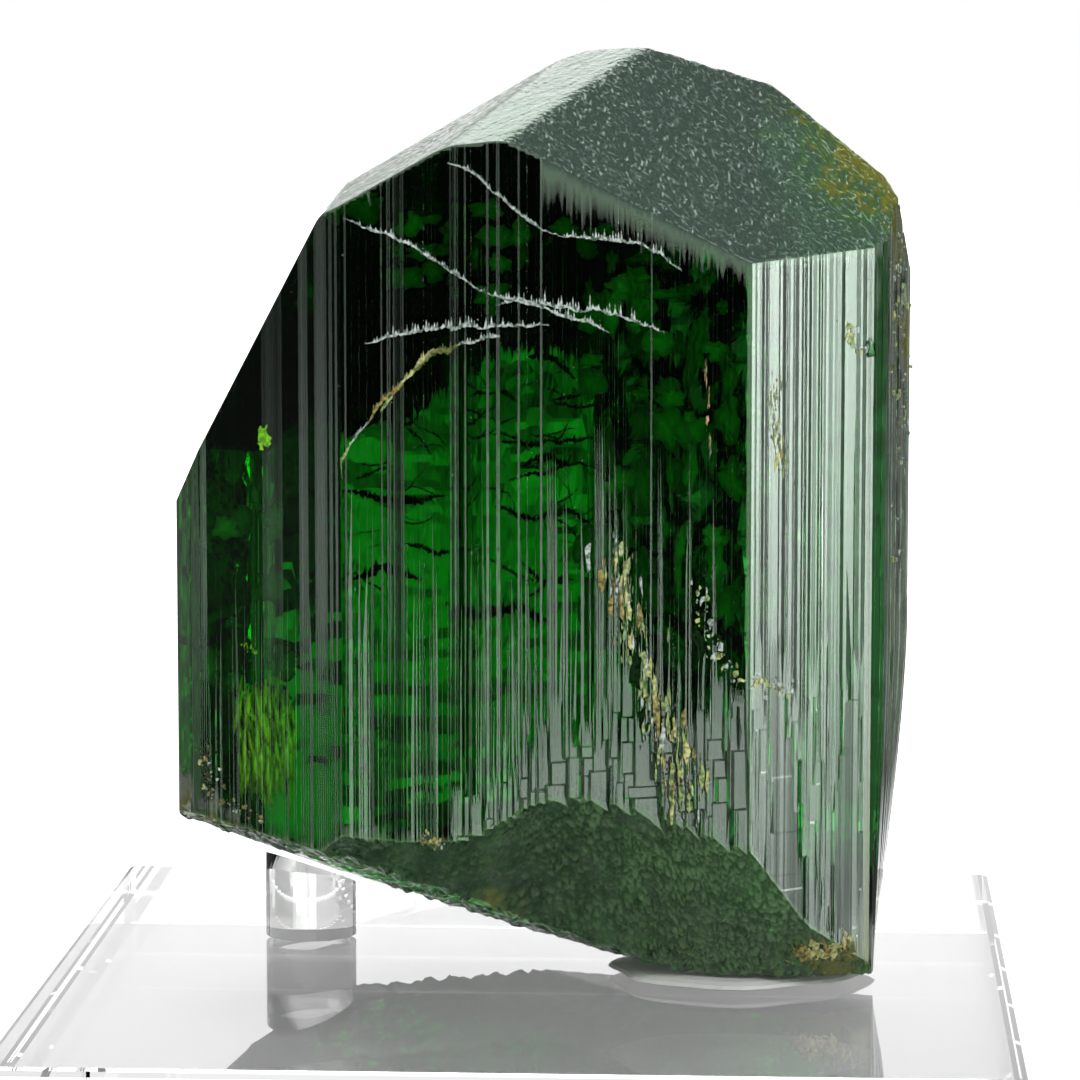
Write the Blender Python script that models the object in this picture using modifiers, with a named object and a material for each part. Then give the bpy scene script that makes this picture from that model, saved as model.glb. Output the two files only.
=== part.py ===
"""A green tourmaline crystal fixed upright on a clear acrylic block, with a peg and putty under it.

Metres, +Z up. The origin is the centre of the block's underside, and the block's sides run along X and Y.
The crystal, peg and putty are laid out in millimetres in the crystal's own frame: its origin is on the
block's top, X runs along the crystal's broad front face and -Y points out of that face.
"""

import math
import random

import bmesh
import bpy
from mathutils import Matrix, Vector, noise

MM = 0.001
GAP = 0.3

# Acrylic block, in millimetres
BLOCK_WIDTH = 66.0
BLOCK_DEPTH = 68.0
BLOCK_THICKNESS = 12.7
BLOCK_CHAMFER = 0.5

# Where the crystal's frame stands on the block
CRYSTAL_ORIGIN = (0.75, -2.8)
CRYSTAL_TURN = math.radians(3.2)

# Section of the prism, counter-clockwise from the left end of the front face
FRONT_Y = -13.0
SECTION = [
    (-13.0, FRONT_Y),
    (13.8, FRONT_Y),
    (22.1, -7.6),
    (23.1, -6.3),
    (25.2, 1.5),
    (22.0, 4.8),
    (14.8, 5.2),
    (3.6, 15.6),
    (-5.0, 16.2),
    (-15.0, 14.2),
    (-20.5, 9.5),
    (-25.0, 3.0),
    (-24.5, -3.5),
    (-22.7, -8.0),
]
PRISM_TOP = 65.0
STRIA_WIDTH = 1.05
STRIA_RELIEF = 0.20

# Faces that end the prism: a point on each, its rise along X and along Y, its grain and the grain's relief
TOP_FACES = {
    "frosted_top": ((13.6, FRONT_Y, 49.6), -0.50, 0.90, 1.25, 0.20),
    "bright_top_left": ((-13.3, FRONT_Y, 53.1), 0.56, 0.12, 1.6, 0.10),
    "bright_top_middle": ((-1.3, FRONT_Y, 57.6), 0.10, 0.42, 1.6, 0.10),
    "left_slope": ((-14.4, -12.0, 52.5), 1.85, -0.10, 2.6, 0.18),
    "back_left_slope": ((-14.0, 3.0, 46.7), 0.75, -0.95, 3.0, 0.25),
    "back_high_slope": ((-4.0, 0.0, 59.8), 0.62, -0.80, 3.0, 0.25),
    "back_low_slope": ((0.0, 16.0, 44.5), 0.10, -1.15, 3.0, 0.25),
    "back_right_slope": ((7.4, -0.9, 63.1), -0.06, -1.10, 3.0, 0.25),
    "right_chip": ((17.5, 0.2, 59.3), -1.00, -0.55, 1.6, 0.35),
    "right_chip_low": ((22.6, -1.0, 55.7), -2.40, -0.50, 1.6, 0.30),
}
FOOT_HEIGHT = 1.3
UNDERSIDE = ((0.0, 0.0, 2.9), -0.33, -0.24, 2.2, 0.20)
BOTTOM_FACES = {
    "etched_front": ((0.0, FRONT_Y, 13.0), -0.03, -1.80, 0.95, 0.36),
    "underside": UNDERSIDE,
    "low_back": ((0.0, 6.5, FOOT_HEIGHT), 0.45, 1.20, 3.0, 0.15),
    "foot": ((0.0, 0.0, FOOT_HEIGHT), 0.0, 0.0, None, 0.0),
}
SLAB_SIZE = 64.0
SLAB_THICKNESS = 40.0

# The lower right corner of the prism draws in towards the foot
TAPER_TOP = (25.2, 0.0, 26.0)
TAPER_SLOPE = 0.093

# Conchoidal chips: centre and radius
CHIPS = {
    "golden_chip": ((20.2, -10.4, 1.2), 4.2),
    "left_corner_chip": ((-26.0, -6.0, 13.6), 2.6),
    "flake_chip": ((-6.9, -13.4, 10.6), 1.5),
    "left_slope_chip_low": ((-24.4, -8.8, 34.4), 1.3),
    "left_slope_chip_middle": ((-22.1, -10.2, 38.6), 1.2),
    "left_slope_chip_high": ((-19.9, -11.4, 42.0), 1.0),
    "right_edge_chip": ((25.6, -1.0, 46.5), 1.4),
    "right_face_chip": ((22.3, -8.6, 43.6), 1.1),
}
CHIP_ROUGHNESS = 0.16

# Growth ledges: plates that step back where the striated faces near the etched zone
LEDGE_COUNT = 20
LEDGE_FIRST_X = -3.0
LEDGE_LAST_X = 21.6
LEDGE_HEIGHTS = (8.0, 23.0)
LEDGE_DEPTHS = (0.25, 0.60)

# Peg and putty
PEG_CENTRE = (-16.3, 11.3)
PEG_RADIUS = 3.2
PEG_BLANK_TOP = 12.0
PUTTY_CENTRE = (13.6, -1.9)
PUTTY_HALF_SIZE = (8.9, 6.4)
PUTTY_RIM = 0.2
PUTTY_RISE = 0.9
PUTTY_WAVES = 0.05


def start_scene():
    for obj in list(bpy.data.objects):
        bpy.data.objects.remove(obj, do_unlink=True)
    collections = []
    for name in ("tourmaline_crystal_on_stand", "crystal_cutters", "peg_cutters"):
        collection = bpy.data.collections.new(name)
        bpy.context.scene.collection.children.link(collection)
        collections.append(collection)
    return collections


def material(name, color, roughness, transmission, ior):
    made = bpy.data.materials.new(name)
    made.use_nodes = True
    shader = made.node_tree.nodes["Principled BSDF"]
    shader.inputs["Base Color"].default_value = (*color, 1.0)
    shader.inputs["Roughness"].default_value = roughness
    shader.inputs["Transmission Weight"].default_value = transmission
    shader.inputs["IOR"].default_value = ior
    shader.inputs["Metallic"].default_value = 0.0
    return made


def crystal_frame():
    """The matrix from the crystal's millimetres to the stand's metres."""
    origin = Vector((*CRYSTAL_ORIGIN, BLOCK_THICKNESS)) * MM
    return Matrix.Translation(origin) @ Matrix.Rotation(CRYSTAL_TURN, 4, "Z") @ Matrix.Scale(MM, 4)


def add_object(name, mesh, collection, surface=None):
    obj = bpy.data.objects.new(name, mesh)
    collection.objects.link(obj)
    if surface:
        mesh.materials.append(surface)
    return obj


def face_outwards(bm):
    bmesh.ops.recalc_face_normals(bm, faces=bm.faces)
    if bm.calc_volume(signed=True) < 0:
        bmesh.ops.reverse_faces(bm, faces=bm.faces)


def object_from_bmesh(name, bm, collection, surface=None):
    face_outwards(bm)
    mesh = bpy.data.meshes.new(name)
    bm.to_mesh(mesh)
    bm.free()
    return add_object(name, mesh, collection, surface)


def hide_as_cutter(obj):
    obj.hide_render = True
    obj.display_type = "WIRE"


def cut_with_collection(obj, cutters):
    cut = obj.modifiers.new("cut", "BOOLEAN")
    cut.operation = "DIFFERENCE"
    cut.operand_type = "COLLECTION"
    cut.collection = cutters
    cut.solver = "EXACT"


def striated_section():
    """The section's outline, each side broken into narrow facets that stand a little in or out."""
    draw = random.Random(11)
    points = []
    for start, end in zip(SECTION, SECTION[1:] + SECTION[:1]):
        start, end = Vector(start), Vector(end)
        side = end - start
        outward = Vector((side.y, -side.x)).normalized()
        facets = max(2, round(side.length / STRIA_WIDTH))
        points.append(start)
        for step in range(1, facets):
            along = (step + draw.uniform(-0.3, 0.3)) / facets
            relief = STRIA_RELIEF * (1 if step % 2 else -1) * draw.uniform(0.3, 1.0)
            points.append(start.lerp(end, along) + outward * relief)
    return points


def make_prism(collection, surface):
    """The prism's blank: the striated section, extruded from the block's top to above the summit."""
    curve = bpy.data.curves.new("prism_section", "CURVE")
    curve.dimensions = "2D"
    curve.fill_mode = "BOTH"
    curve.extrude = PRISM_TOP / 2 * MM
    section = striated_section()
    spline = curve.splines.new("POLY")
    spline.points.add(len(section) - 1)
    for point, place in zip(spline.points, section):
        point.co = (place.x * MM, place.y * MM, 0.0, 1.0)
    spline.use_cyclic_u = True
    guide = bpy.data.objects.new("prism_section", curve)
    collection.objects.link(guide)
    guide.location.z = PRISM_TOP / 2 * MM
    bpy.context.view_layer.update()
    evaluated = guide.evaluated_get(bpy.context.evaluated_depsgraph_get())
    mesh = bpy.data.meshes.new_from_object(evaluated)
    mesh.name = "tourmaline_crystal"
    mesh.transform(Matrix.Rotation(CRYSTAL_TURN, 4, "Z") @ guide.matrix_world)
    bpy.data.objects.remove(guide, do_unlink=True)
    bm = bmesh.new()
    bm.from_mesh(mesh)
    bmesh.ops.remove_doubles(bm, verts=bm.verts, dist=0.001 * MM)
    face_outwards(bm)
    bm.to_mesh(mesh)
    bm.free()
    mesh.materials.clear()
    crystal = add_object("tourmaline_crystal", mesh, collection, surface)
    crystal.location = Vector((*CRYSTAL_ORIGIN, BLOCK_THICKNESS)) * MM
    return crystal


def make_slab(name, point, outward, grain, relief, collection):
    """A cutter that removes all that lies outside a face: a slab whose inner side is that face, with its relief."""
    bm = bmesh.new()
    segments = 1 if grain is None else round(SLAB_SIZE / grain)
    bmesh.ops.create_grid(bm, x_segments=segments, y_segments=segments, size=SLAB_SIZE / 2)
    inner = list(bm.verts)
    extruded = bmesh.ops.extrude_face_region(bm, geom=bm.faces[:])
    lifted = [item for item in extruded["geom"] if isinstance(item, bmesh.types.BMVert)]
    bmesh.ops.translate(bm, verts=lifted, vec=(0, 0, SLAB_THICKNESS))
    if grain is not None:
        for vert in inner:
            spot = Vector((vert.co.x, vert.co.y, len(name)))
            vert.co.z += relief * (noise.noise(spot / grain) + 0.6 * noise.noise(spot / (3 * grain)))
    turn = outward.to_track_quat("Z", "Y").to_matrix().to_4x4()
    bm.transform(crystal_frame() @ Matrix.Translation(Vector(point)) @ turn)
    slab = object_from_bmesh(name, bm, collection)
    hide_as_cutter(slab)


def make_face_cutters(collection):
    for name, (point, rise_x, rise_y, grain, relief) in TOP_FACES.items():
        make_slab(name, point, Vector((-rise_x, -rise_y, 1.0)), grain, relief, collection)
    for name, (point, rise_x, rise_y, grain, relief) in BOTTOM_FACES.items():
        make_slab(name, point, Vector((rise_x, rise_y, -1.0)), grain, relief, collection)
    make_slab("right_taper", TAPER_TOP, Vector((1.0, 0.0, -TAPER_SLOPE)), None, 0.0, collection)


def make_chip_cutters(collection):
    """Rough balls that leave shell-shaped chips where they overlap the crystal."""
    for name, (centre, radius) in CHIPS.items():
        bm = bmesh.new()
        bmesh.ops.create_icosphere(bm, subdivisions=2, radius=radius)
        for vert in bm.verts:
            vert.co *= 1 + CHIP_ROUGHNESS * noise.noise(vert.co * 1.7)
        bm.transform(crystal_frame() @ Matrix.Translation(Vector(centre)))
        hide_as_cutter(object_from_bmesh(name, bm, collection))


def front_point(x):
    """The point at this X on the outline's front, and the outward direction there."""
    corner, right_end = Vector(SECTION[1]), Vector(SECTION[2])
    if x <= corner.x:
        return Vector((x, FRONT_Y)), Vector((0, -1))
    side = right_end - corner
    return corner.lerp(right_end, (x - corner.x) / side.x), Vector((side.y, -side.x)).normalized()


def make_ledge_cutters(collection):
    """Each ledge takes a thin layer off a strip of the front, from its own height down into the etched zone."""
    draw = random.Random(5)
    lowest, highest = LEDGE_HEIGHTS
    pitch = (LEDGE_LAST_X - LEDGE_FIRST_X) / LEDGE_COUNT
    for index in range(LEDGE_COUNT):
        x = LEDGE_FIRST_X + pitch * (index + 0.5)
        point, outward = front_point(x)
        depth = draw.uniform(*LEDGE_DEPTHS)
        top = draw.uniform(lowest, highest)
        width = pitch * draw.uniform(0.8, 1.5)
        bm = bmesh.new()
        bmesh.ops.create_cube(bm, size=1.0)
        bmesh.ops.scale(bm, verts=bm.verts, vec=(width, 2.0, top))
        bmesh.ops.translate(bm, verts=bm.verts, vec=(0, -1.0 + depth, top / 2))
        facing = math.atan2(outward.y, outward.x) + math.pi / 2
        bm.transform(
            crystal_frame()
            @ Matrix.Translation((point.x, point.y, 0.0))
            @ Matrix.Rotation(facing, 4, "Z")
        )
        hide_as_cutter(object_from_bmesh(f"ledge_{index:02d}", bm, collection))


def make_base(collection, surface):
    bm = bmesh.new()
    bmesh.ops.create_cube(bm, size=1.0)
    bmesh.ops.scale(bm, verts=bm.verts, vec=(BLOCK_WIDTH * MM, BLOCK_DEPTH * MM, BLOCK_THICKNESS * MM))
    base = object_from_bmesh("display_base", bm, collection, surface)
    base.location.z = BLOCK_THICKNESS / 2 * MM
    chamfer = base.modifiers.new("chamfer", "BEVEL")
    chamfer.width = BLOCK_CHAMFER * MM
    chamfer.segments = 2
    chamfer.limit_method = "ANGLE"


def make_peg(collection, cutters, surface):
    """The peg's blank is a rod on the block, and its top is cut to the slope of the crystal's underside."""
    bm = bmesh.new()
    height = PEG_BLANK_TOP - GAP
    bmesh.ops.create_cone(
        bm, cap_ends=True, segments=64, radius1=PEG_RADIUS, radius2=PEG_RADIUS, depth=height
    )
    bm.transform(crystal_frame() @ Matrix.Translation((*PEG_CENTRE, GAP + height / 2)))
    peg = object_from_bmesh("support_peg", bm, collection, surface)
    point, rise_x, rise_y, _, relief = UNDERSIDE
    lowered = Vector(point) - Vector((0, 0, GAP + relief))
    make_slab("peg_top", lowered, Vector((-rise_x, -rise_y, 1.0)), None, 0.0, cutters)
    cut_with_collection(peg, cutters)
    peg.data.shade_smooth()
    peg.data.set_sharp_from_angle(angle=math.radians(40))


def crystal_underside(x, y):
    """Height of the crystal's lower side over this point of the block."""
    point, rise_x, rise_y, _, relief = UNDERSIDE
    return max(FOOT_HEIGHT, point[2] + rise_x * x + rise_y * y - relief)


def make_putty(collection, surface):
    """A ball of putty pressed flat under the foot, with a wavy rim that swells where nothing presses on it."""
    bm = bmesh.new()
    bmesh.ops.create_uvsphere(bm, u_segments=44, v_segments=14, radius=1.0)
    for vert in bm.verts:
        around = math.atan2(vert.co.y, vert.co.x)
        wave = 1 + PUTTY_WAVES * (math.sin(3 * around + 0.7) + 0.6 * math.sin(7 * around))
        x = PUTTY_CENTRE[0] + PUTTY_HALF_SIZE[0] * wave * vert.co.x
        y = PUTTY_CENTRE[1] + PUTTY_HALF_SIZE[1] * wave * vert.co.y
        under_rim = PUTTY_RIM * (1 + min(vert.co.z, 0.0)) ** 3
        swollen = GAP + under_rim + PUTTY_RISE * max(vert.co.z, 0.0)
        vert.co = (x, y, min(swollen, crystal_underside(x, y) - GAP))
    bm.transform(crystal_frame())
    putty = object_from_bmesh("mounting_putty", bm, collection, surface)
    putty.data.shade_smooth()


def main():
    parts, crystal_cutters, peg_cutters = start_scene()
    tourmaline = material("green_tourmaline", (0.010, 0.110, 0.012), 0.12, 0.6, 1.63)
    acrylic = material("clear_acrylic", (0.93, 0.95, 0.96), 0.02, 1.0, 1.49)
    putty = material("pale_putty", (0.72, 0.72, 0.68), 0.45, 0.2, 1.45)
    crystal = make_prism(parts, tourmaline)
    make_face_cutters(crystal_cutters)
    make_chip_cutters(crystal_cutters)
    make_ledge_cutters(crystal_cutters)
    cut_with_collection(crystal, crystal_cutters)
    make_base(parts, acrylic)
    make_peg(parts, peg_cutters, acrylic)
    make_putty(parts, putty)


main()
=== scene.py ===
"""Looks of a green tourmaline crystal on its acrylic stand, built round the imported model.

The crystal is laid out in millimetres in its own frame: origin on the block's top, X along the broad front
face, -Y out of that face, +Z up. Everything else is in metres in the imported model's frame.
"""

import math
import random

import bpy
import numpy as np
from mathutils import Matrix, Vector, geometry, noise


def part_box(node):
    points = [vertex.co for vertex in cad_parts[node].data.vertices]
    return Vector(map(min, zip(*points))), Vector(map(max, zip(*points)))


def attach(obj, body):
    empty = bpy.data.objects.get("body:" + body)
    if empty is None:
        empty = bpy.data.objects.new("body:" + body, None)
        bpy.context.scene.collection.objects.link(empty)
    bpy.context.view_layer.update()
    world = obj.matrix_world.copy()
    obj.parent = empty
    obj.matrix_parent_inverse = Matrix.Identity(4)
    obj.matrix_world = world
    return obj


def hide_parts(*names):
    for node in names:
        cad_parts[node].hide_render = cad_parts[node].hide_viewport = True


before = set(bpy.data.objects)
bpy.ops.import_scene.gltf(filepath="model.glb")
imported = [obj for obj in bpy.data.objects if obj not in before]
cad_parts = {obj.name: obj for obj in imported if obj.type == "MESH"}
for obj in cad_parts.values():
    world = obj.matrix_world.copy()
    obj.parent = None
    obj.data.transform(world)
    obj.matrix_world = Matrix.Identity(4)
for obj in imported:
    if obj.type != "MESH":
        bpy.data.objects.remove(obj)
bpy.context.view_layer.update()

MM = 0.001

# Place of the crystal's frame on the block, as in the solid model
BLOCK_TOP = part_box("display_base")[1].z
CRYSTAL_ORIGIN = Vector((0.75 * MM, -2.8 * MM, BLOCK_TOP))
CRYSTAL_TURN = math.radians(3.2)
CRYSTAL_FRAME = Matrix.Translation(CRYSTAL_ORIGIN) @ Matrix.Rotation(CRYSTAL_TURN, 4, "Z")

# Camera, in the crystal's frame
CAMERA_PLACE = Vector((0.0, -318.09, 68.35)) * MM
CAMERA_DOWN = math.radians(6.9)
CAMERA_LENS = 156.67
CAMERA_SENSOR = 36.0

# Crystal section, counter-clockwise from the left end of the front face
FRONT_Y = -13.0
FRONT_LEFT, FRONT_RIGHT = -13.0, 13.8
LEFT_END, RIGHT_END, STRIP_START, STRIP_END = (-22.7, -8.0), (22.1, -7.6), (23.1, -6.3), (25.2, 1.5)
SIDES = [
    ("front", (FRONT_LEFT, FRONT_Y)),
    ("right", (FRONT_RIGHT, FRONT_Y)),
    ("right_bevel", RIGHT_END),
    ("right_strip", STRIP_START),
    ("back", STRIP_END),
    ("back", (22.0, 4.8)),
    ("slanted_back", (14.8, 5.2)),
    ("back", (3.6, 15.6)),
    ("back", (-5.0, 16.2)),
    ("back", (-15.0, 14.2)),
    ("back", (-20.5, 9.5)),
    ("left_strip", (-25.0, 3.0)),
    ("left_strip", (-24.5, -3.5)),
    ("left_front", LEFT_END),
]


def plane(point, rise_x, rise_y):
    """Face through a point: its height at x = 0, y = 0 and its rises along X and Y."""
    return (point[2] - rise_x * point[0] - rise_y * point[1], rise_x, rise_y)


# Faces that end the prism
TOP_FACES = {
    "frosted": plane((13.6, FRONT_Y, 49.6), -0.50, 0.90),
    "bright": plane((-13.3, FRONT_Y, 53.1), 0.56, 0.12),
    "bright_middle": plane((-1.3, FRONT_Y, 57.6), 0.10, 0.42),
    "left_slope": plane((-14.4, -12.0, 52.5), 1.85, -0.10),
    "back_left": plane((-14.0, 3.0, 46.7), 0.75, -0.95),
    "back_high": plane((-4.0, 0.0, 59.8), 0.62, -0.80),
    "back_low": plane((0.0, 16.0, 44.5), 0.10, -1.15),
    "back_right": plane((7.4, -0.9, 63.1), -0.06, -1.10),
    "right_chip": plane((17.5, 0.2, 59.3), -1.0, -0.55),
    "right_chip_low": plane((22.6, -1.0, 55.7), -2.4, -0.5),
}
TOP_FROST = {"frosted": 0.8, "bright": 0.5, "bright_middle": 0.7, "right_chip": 0.8, "right_chip_low": 0.8}
PLAIN_TOP_FROST, GRAINED_ABOVE = 0.15, 0.7
RIDGE_ROUNDING = 0.15
FOOT_HEIGHT = 1.3
UNDERSIDE = plane((0.0, 0.0, 2.9), -0.33, -0.24)
LOW_BACK = plane((0.0, 6.5, 1.3), 0.45, 1.2)
ETCHED_EDGE_X = [-25.0, -15.8, -9.2, -5.9, -3.3, -0.7, 1.3, 3.9, 7.2, 10.5, 13.8, 18.0, 22.0]
ETCHED_EDGE_Z = [12.6, 12.1, 11.4, 11.4, 12.4, 13.9, 14.5, 14.2, 13.4, 12.1, 10.8, 10.0, 11.8]
ETCHED_STEEPNESS = 1.8
ETCHED_FROST, ROUGH_FROST, FOOT_FROST = 1.0, 0.85, 0.3


def on_plane(face, x, y):
    return face[0] + face[1] * x + face[2] * y


def top_height(x, y):
    """The lowest of the top faces, with the ridges between them slightly rounded."""
    heights = np.array([on_plane(face, x, y) for face in TOP_FACES.values()])
    lowest = heights.min(axis=0)
    return lowest - RIDGE_ROUNDING * np.log(np.exp((lowest - heights) / RIDGE_ROUNDING).sum(axis=0))


def top_frost(x, y):
    """How frosted the top is at each point: 0 is polished, 1 is fully frosted."""
    names = list(TOP_FACES)
    heights = np.array([on_plane(TOP_FACES[name], x, y) for name in names])
    heights[names.index("frosted")] += 0.25 * np.sin(2.9 * x + 1.3 * y) * np.sin(1.7 * x - 3.7 * y)
    lowest = np.argmin(heights, axis=0)
    return np.array([TOP_FROST.get(name, PLAIN_TOP_FROST) for name in names])[lowest]


def etched_height(x, y):
    """The etched front: one steep slope, down and back from the lower edge of the front face."""
    back = np.maximum(y - FRONT_Y, 0.0)
    return np.interp(x, ETCHED_EDGE_X, ETCHED_EDGE_Z) - ETCHED_STEEPNESS * back


def bottom_height(x, y):
    low = np.maximum(on_plane(UNDERSIDE, x, y), etched_height(x, y))
    return np.maximum(np.maximum(low, on_plane(LOW_BACK, x, y)), FOOT_HEIGHT)


ROUGH_UNDERSIDE_X = 8.0
PEG_PLACE, PEG_CLEAR, PEG_CALM = (-16.3, 11.3), 4.2, 1.5


def bottom_frost(x, y):
    """How frosted the underside is: most on the etched front, less on the rough part, least on the foot."""
    etched = etched_height(x, y) >= bottom_height(x, y) - 0.05
    return np.where(etched, ETCHED_FROST, np.where(x < ROUGH_UNDERSIDE_X, ROUGH_FROST, FOOT_FROST))


def noise_at(points, scale, seed):
    """Smooth noise, about -1 to 1, at each point; a larger scale gives wider lumps."""
    shift = Vector((seed * 17.3, seed * 5.1, seed * 9.7))
    return np.array([noise.noise(Vector(p) / scale + shift) for p in points])


# Heights at which a column may bend, closer together low down; a column keeps only those that it needs
LOW_ROWS_END, ROWS_END = 27.0, 65.1
ROWS = np.concatenate([np.arange(FOOT_HEIGHT, LOW_ROWS_END, 0.15), np.arange(LOW_ROWS_END, ROWS_END, 0.25)])
COLUMN_TOLERANCE = 0.004

# Heights far above and far below the crystal
ALWAYS, NEVER = 90.0, -90.0

# Stripes: least share that is open, the share left where they thin out and the height over which they do so,
# and the steep side's width as a share of the depth and at least
LEAST_OPEN, THINNED_SHARE, THINNING_HEIGHT = 0.02, 0.45, 8.0
RISER_SHARE, LEAST_RISER = 0.15, 0.002


class Stripe:
    """A narrow facet along a prism face, tilted to one side, that opens downward from its upper end."""

    def __init__(self, start, width, tilt, top, opening, share=1.0, anchor=0.0, thinner_below=NEVER):
        self.start, self.width, self.tilt = start, width, math.radians(tilt)
        self.top, self.opening, self.share, self.anchor = top, opening, share, anchor
        self.thinner_below = thinner_below

    def open_share(self, z):
        reach = [self.thinner_below - THINNING_HEIGHT, self.thinner_below]
        thinning = np.interp(z, reach, [THINNED_SHARE, 1.0])
        return np.clip((self.top - z) / self.opening, LEAST_OPEN, 1.0) * self.share * thinning

    def columns(self, z):
        """Distance along the face and depth into it of the stripe's three edges, for every row."""
        share = self.open_share(z)
        wide = share * self.width
        deep = wide * abs(math.tan(self.tilt))
        riser = RISER_SHARE * deep + LEAST_RISER
        start = self.start + self.anchor * (1 - share) * self.width
        middle = wide if self.tilt > 0 else riser
        along = np.stack([start, start + middle, start + wide + riser], axis=1)
        depth = np.stack([0 * deep, deep, 0 * deep], axis=1)
        return along, depth


LIGHT_TILT = 18.0

# Main stripes of the front face, left to right: x of the left edge, width, way it leans, z of the upper end
FRONT_STRIPES = [
    (-12.95, 0.35, -1, ALWAYS), (-10.40, 0.14, -1, ALWAYS), (-10.00, 0.28, -1, ALWAYS),
    (-9.60, 0.75, -1, ALWAYS), (-5.90, 0.60, -1, ALWAYS), (-4.95, 0.15, -1, ALWAYS),
    (-3.50, 0.22, 1, ALWAYS), (-2.85, 0.25, 1, ALWAYS), (-1.45, 0.16, 1, ALWAYS),
    (0.00, 0.20, 1, ALWAYS), (0.45, 0.72, 1, 37.5), (1.50, 0.40, 1, 34.5), (3.55, 0.80, 1, 39.5),
    (4.50, 0.18, 1, 38.0), (4.85, 0.22, 1, 38.0), (5.60, 0.14, 1, 35.5), (7.20, 0.16, 1, ALWAYS),
    (7.70, 0.32, 1, 37.0), (9.75, 0.16, 1, 37.0), (11.30, 0.20, 1, 35.0),
]

# Main stripes of the left front face: distance along it, width, tilt, z of the upper end
LEFT_FRONT_STRIPES = [
    (0.15, 0.50, 9.0, ALWAYS), (4.95, 1.55, 4.8, ALWAYS), (7.75, 0.70, 9.0, ALWAYS),
    (8.95, 0.95, 9.0, ALWAYS), (10.05, 0.25, 9.0, ALWAYS), (10.50, 0.20, 9.0, ALWAYS),
]

# Strands that a wide main stripe is split into: usual room, share of it that is used, height to open over
STRAND_ROOM, STRAND_SHARE, STRAND_OPENING = 0.16, 0.86, 6.0
THIN_BELOW = 27.0

# Random stripes: room taken as a share of the width, least room, least width
ROOM_SHARE, LEAST_ROOM, LEAST_WIDTH = 1.1, 0.12, 0.04


def fill_stripes(
    fixed, length, draw, tops, widths, tilts, gap=0.02, spaces=(0.0, 0.08, 0.15, 0.3, 0.45),
    lean_share=0.2, thinning_up_to=0.0,
):
    """Adds random stripes between the fixed ones; tops, widths and tilts draw one value for a place."""
    stripes = []
    for start, width, tilt, top in fixed:
        count = max(1, round(width / STRAND_ROOM))
        limit = THIN_BELOW if start < thinning_up_to else NEVER
        for k in range(count):
            lean = draw.uniform(-lean_share, lean_share) * tilt if count > 1 else 0.0
            place, used = start + k * width / count, STRAND_SHARE * width / count
            stripes.append(Stripe(place, used, tilt + lean, top, STRAND_OPENING, thinner_below=limit))
    edges = [(0.0, 0.0)] + [(start, start + width) for start, width, _, _ in fixed] + [(length, length)]
    for (_, left), (right, _) in zip(edges[:-1], edges[1:]):
        place = left + gap
        while place < right - LEAST_ROOM:
            width = min(widths(place), (right - place) / ROOM_SHARE - gap)
            if width < LEAST_WIDTH:
                break
            stripes.append(Stripe(
                place, width, tilts(place), tops(place), draw.uniform(4, 11), draw.uniform(0.55, 1.0),
                draw.choice((0.0, 1.0)),
            ))
            place += ROOM_SHARE * width + gap + draw.choice(spaces)
    return sorted(stripes, key=lambda s: s.start)


def front_stripes():
    draw = random.Random(3)
    fixed = [(x - FRONT_LEFT, width, way * LIGHT_TILT, top) for x, width, way, top in FRONT_STRIPES]

    def tops(place):
        x = place + FRONT_LEFT
        middle = np.interp(x, [-13, -8, -4, 0, 4, 8, 13.8], [32, 30, 27, 28, 32, 26, 23])
        return middle + draw.triangular(-8, 10, -1)

    def tilts(place):
        left_share = np.interp(place + FRONT_LEFT, [-13, -6, 0, 13], [0.85, 0.6, 0.3, 0.05])
        way = -1 if draw.random() < left_share else 1
        return way * (LIGHT_TILT + draw.uniform(-3.5, 3.5))

    return fill_stripes(
        fixed, FRONT_RIGHT - FRONT_LEFT, draw, tops,
        lambda place: draw.choice((0.06, 0.08, 0.11, 0.15, 0.2, 0.3)), tilts,
        spaces=(0.0, 0.0, 0.05, 0.1, 0.22), lean_share=0.35, thinning_up_to=8.5,
    )


def right_stripes():
    """Bright lines and dark grooves between wider facets that lean a little."""
    draw = random.Random(8)
    kinds = {
        "line": ((0.10, 0.14, 0.20, 0.26), (-2.0, 2.0)),
        "groove": ((0.06, 0.09, 0.12), (13.0, 19.0)),
        "facet": ((0.16, 0.24, 0.34, 0.45), (3.5, 8.0)),
    }
    chosen = ["facet"]

    def tops(place):
        return ALWAYS if draw.random() < 0.75 else draw.uniform(15, 45)

    def widths(place):
        chosen[0] = draw.choice(("line", "line", "groove", "facet", "facet"))
        return draw.choice(kinds[chosen[0]][0])

    def tilts(place):
        way = 1 if chosen[0] == "groove" else draw.choice((-1, 1))
        return way * draw.uniform(*kinds[chosen[0]][1])

    length = math.dist((FRONT_RIGHT, FRONT_Y), RIGHT_END)
    last = (length - 0.45, 0.42, 1.0, ALWAYS)
    return fill_stripes([last], length, draw, tops, widths, tilts, spaces=(0.0,))


def left_front_stripes():
    draw = random.Random(21)
    length = math.dist((-22.9, -8.0), (FRONT_LEFT, FRONT_Y))
    return fill_stripes(
        LEFT_FRONT_STRIPES, length, draw, lambda place: draw.triangular(14, 40, 24),
        lambda place: draw.choice((0.07, 0.11, 0.16, 0.25)), lambda place: draw.uniform(5.0, 11.0),
        thinning_up_to=length,
    )


def strip_stripes(length, seed, widths=(0.2, 0.35, 0.6, 0.9), most_tilt=8.0):
    draw = random.Random(seed)
    return fill_stripes(
        [], length, draw, lambda place: ALWAYS, lambda place: draw.choice(widths),
        lambda place: draw.choice((-1, 1)) * draw.uniform(2.0, most_tilt), gap=0.05,
    )


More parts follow.
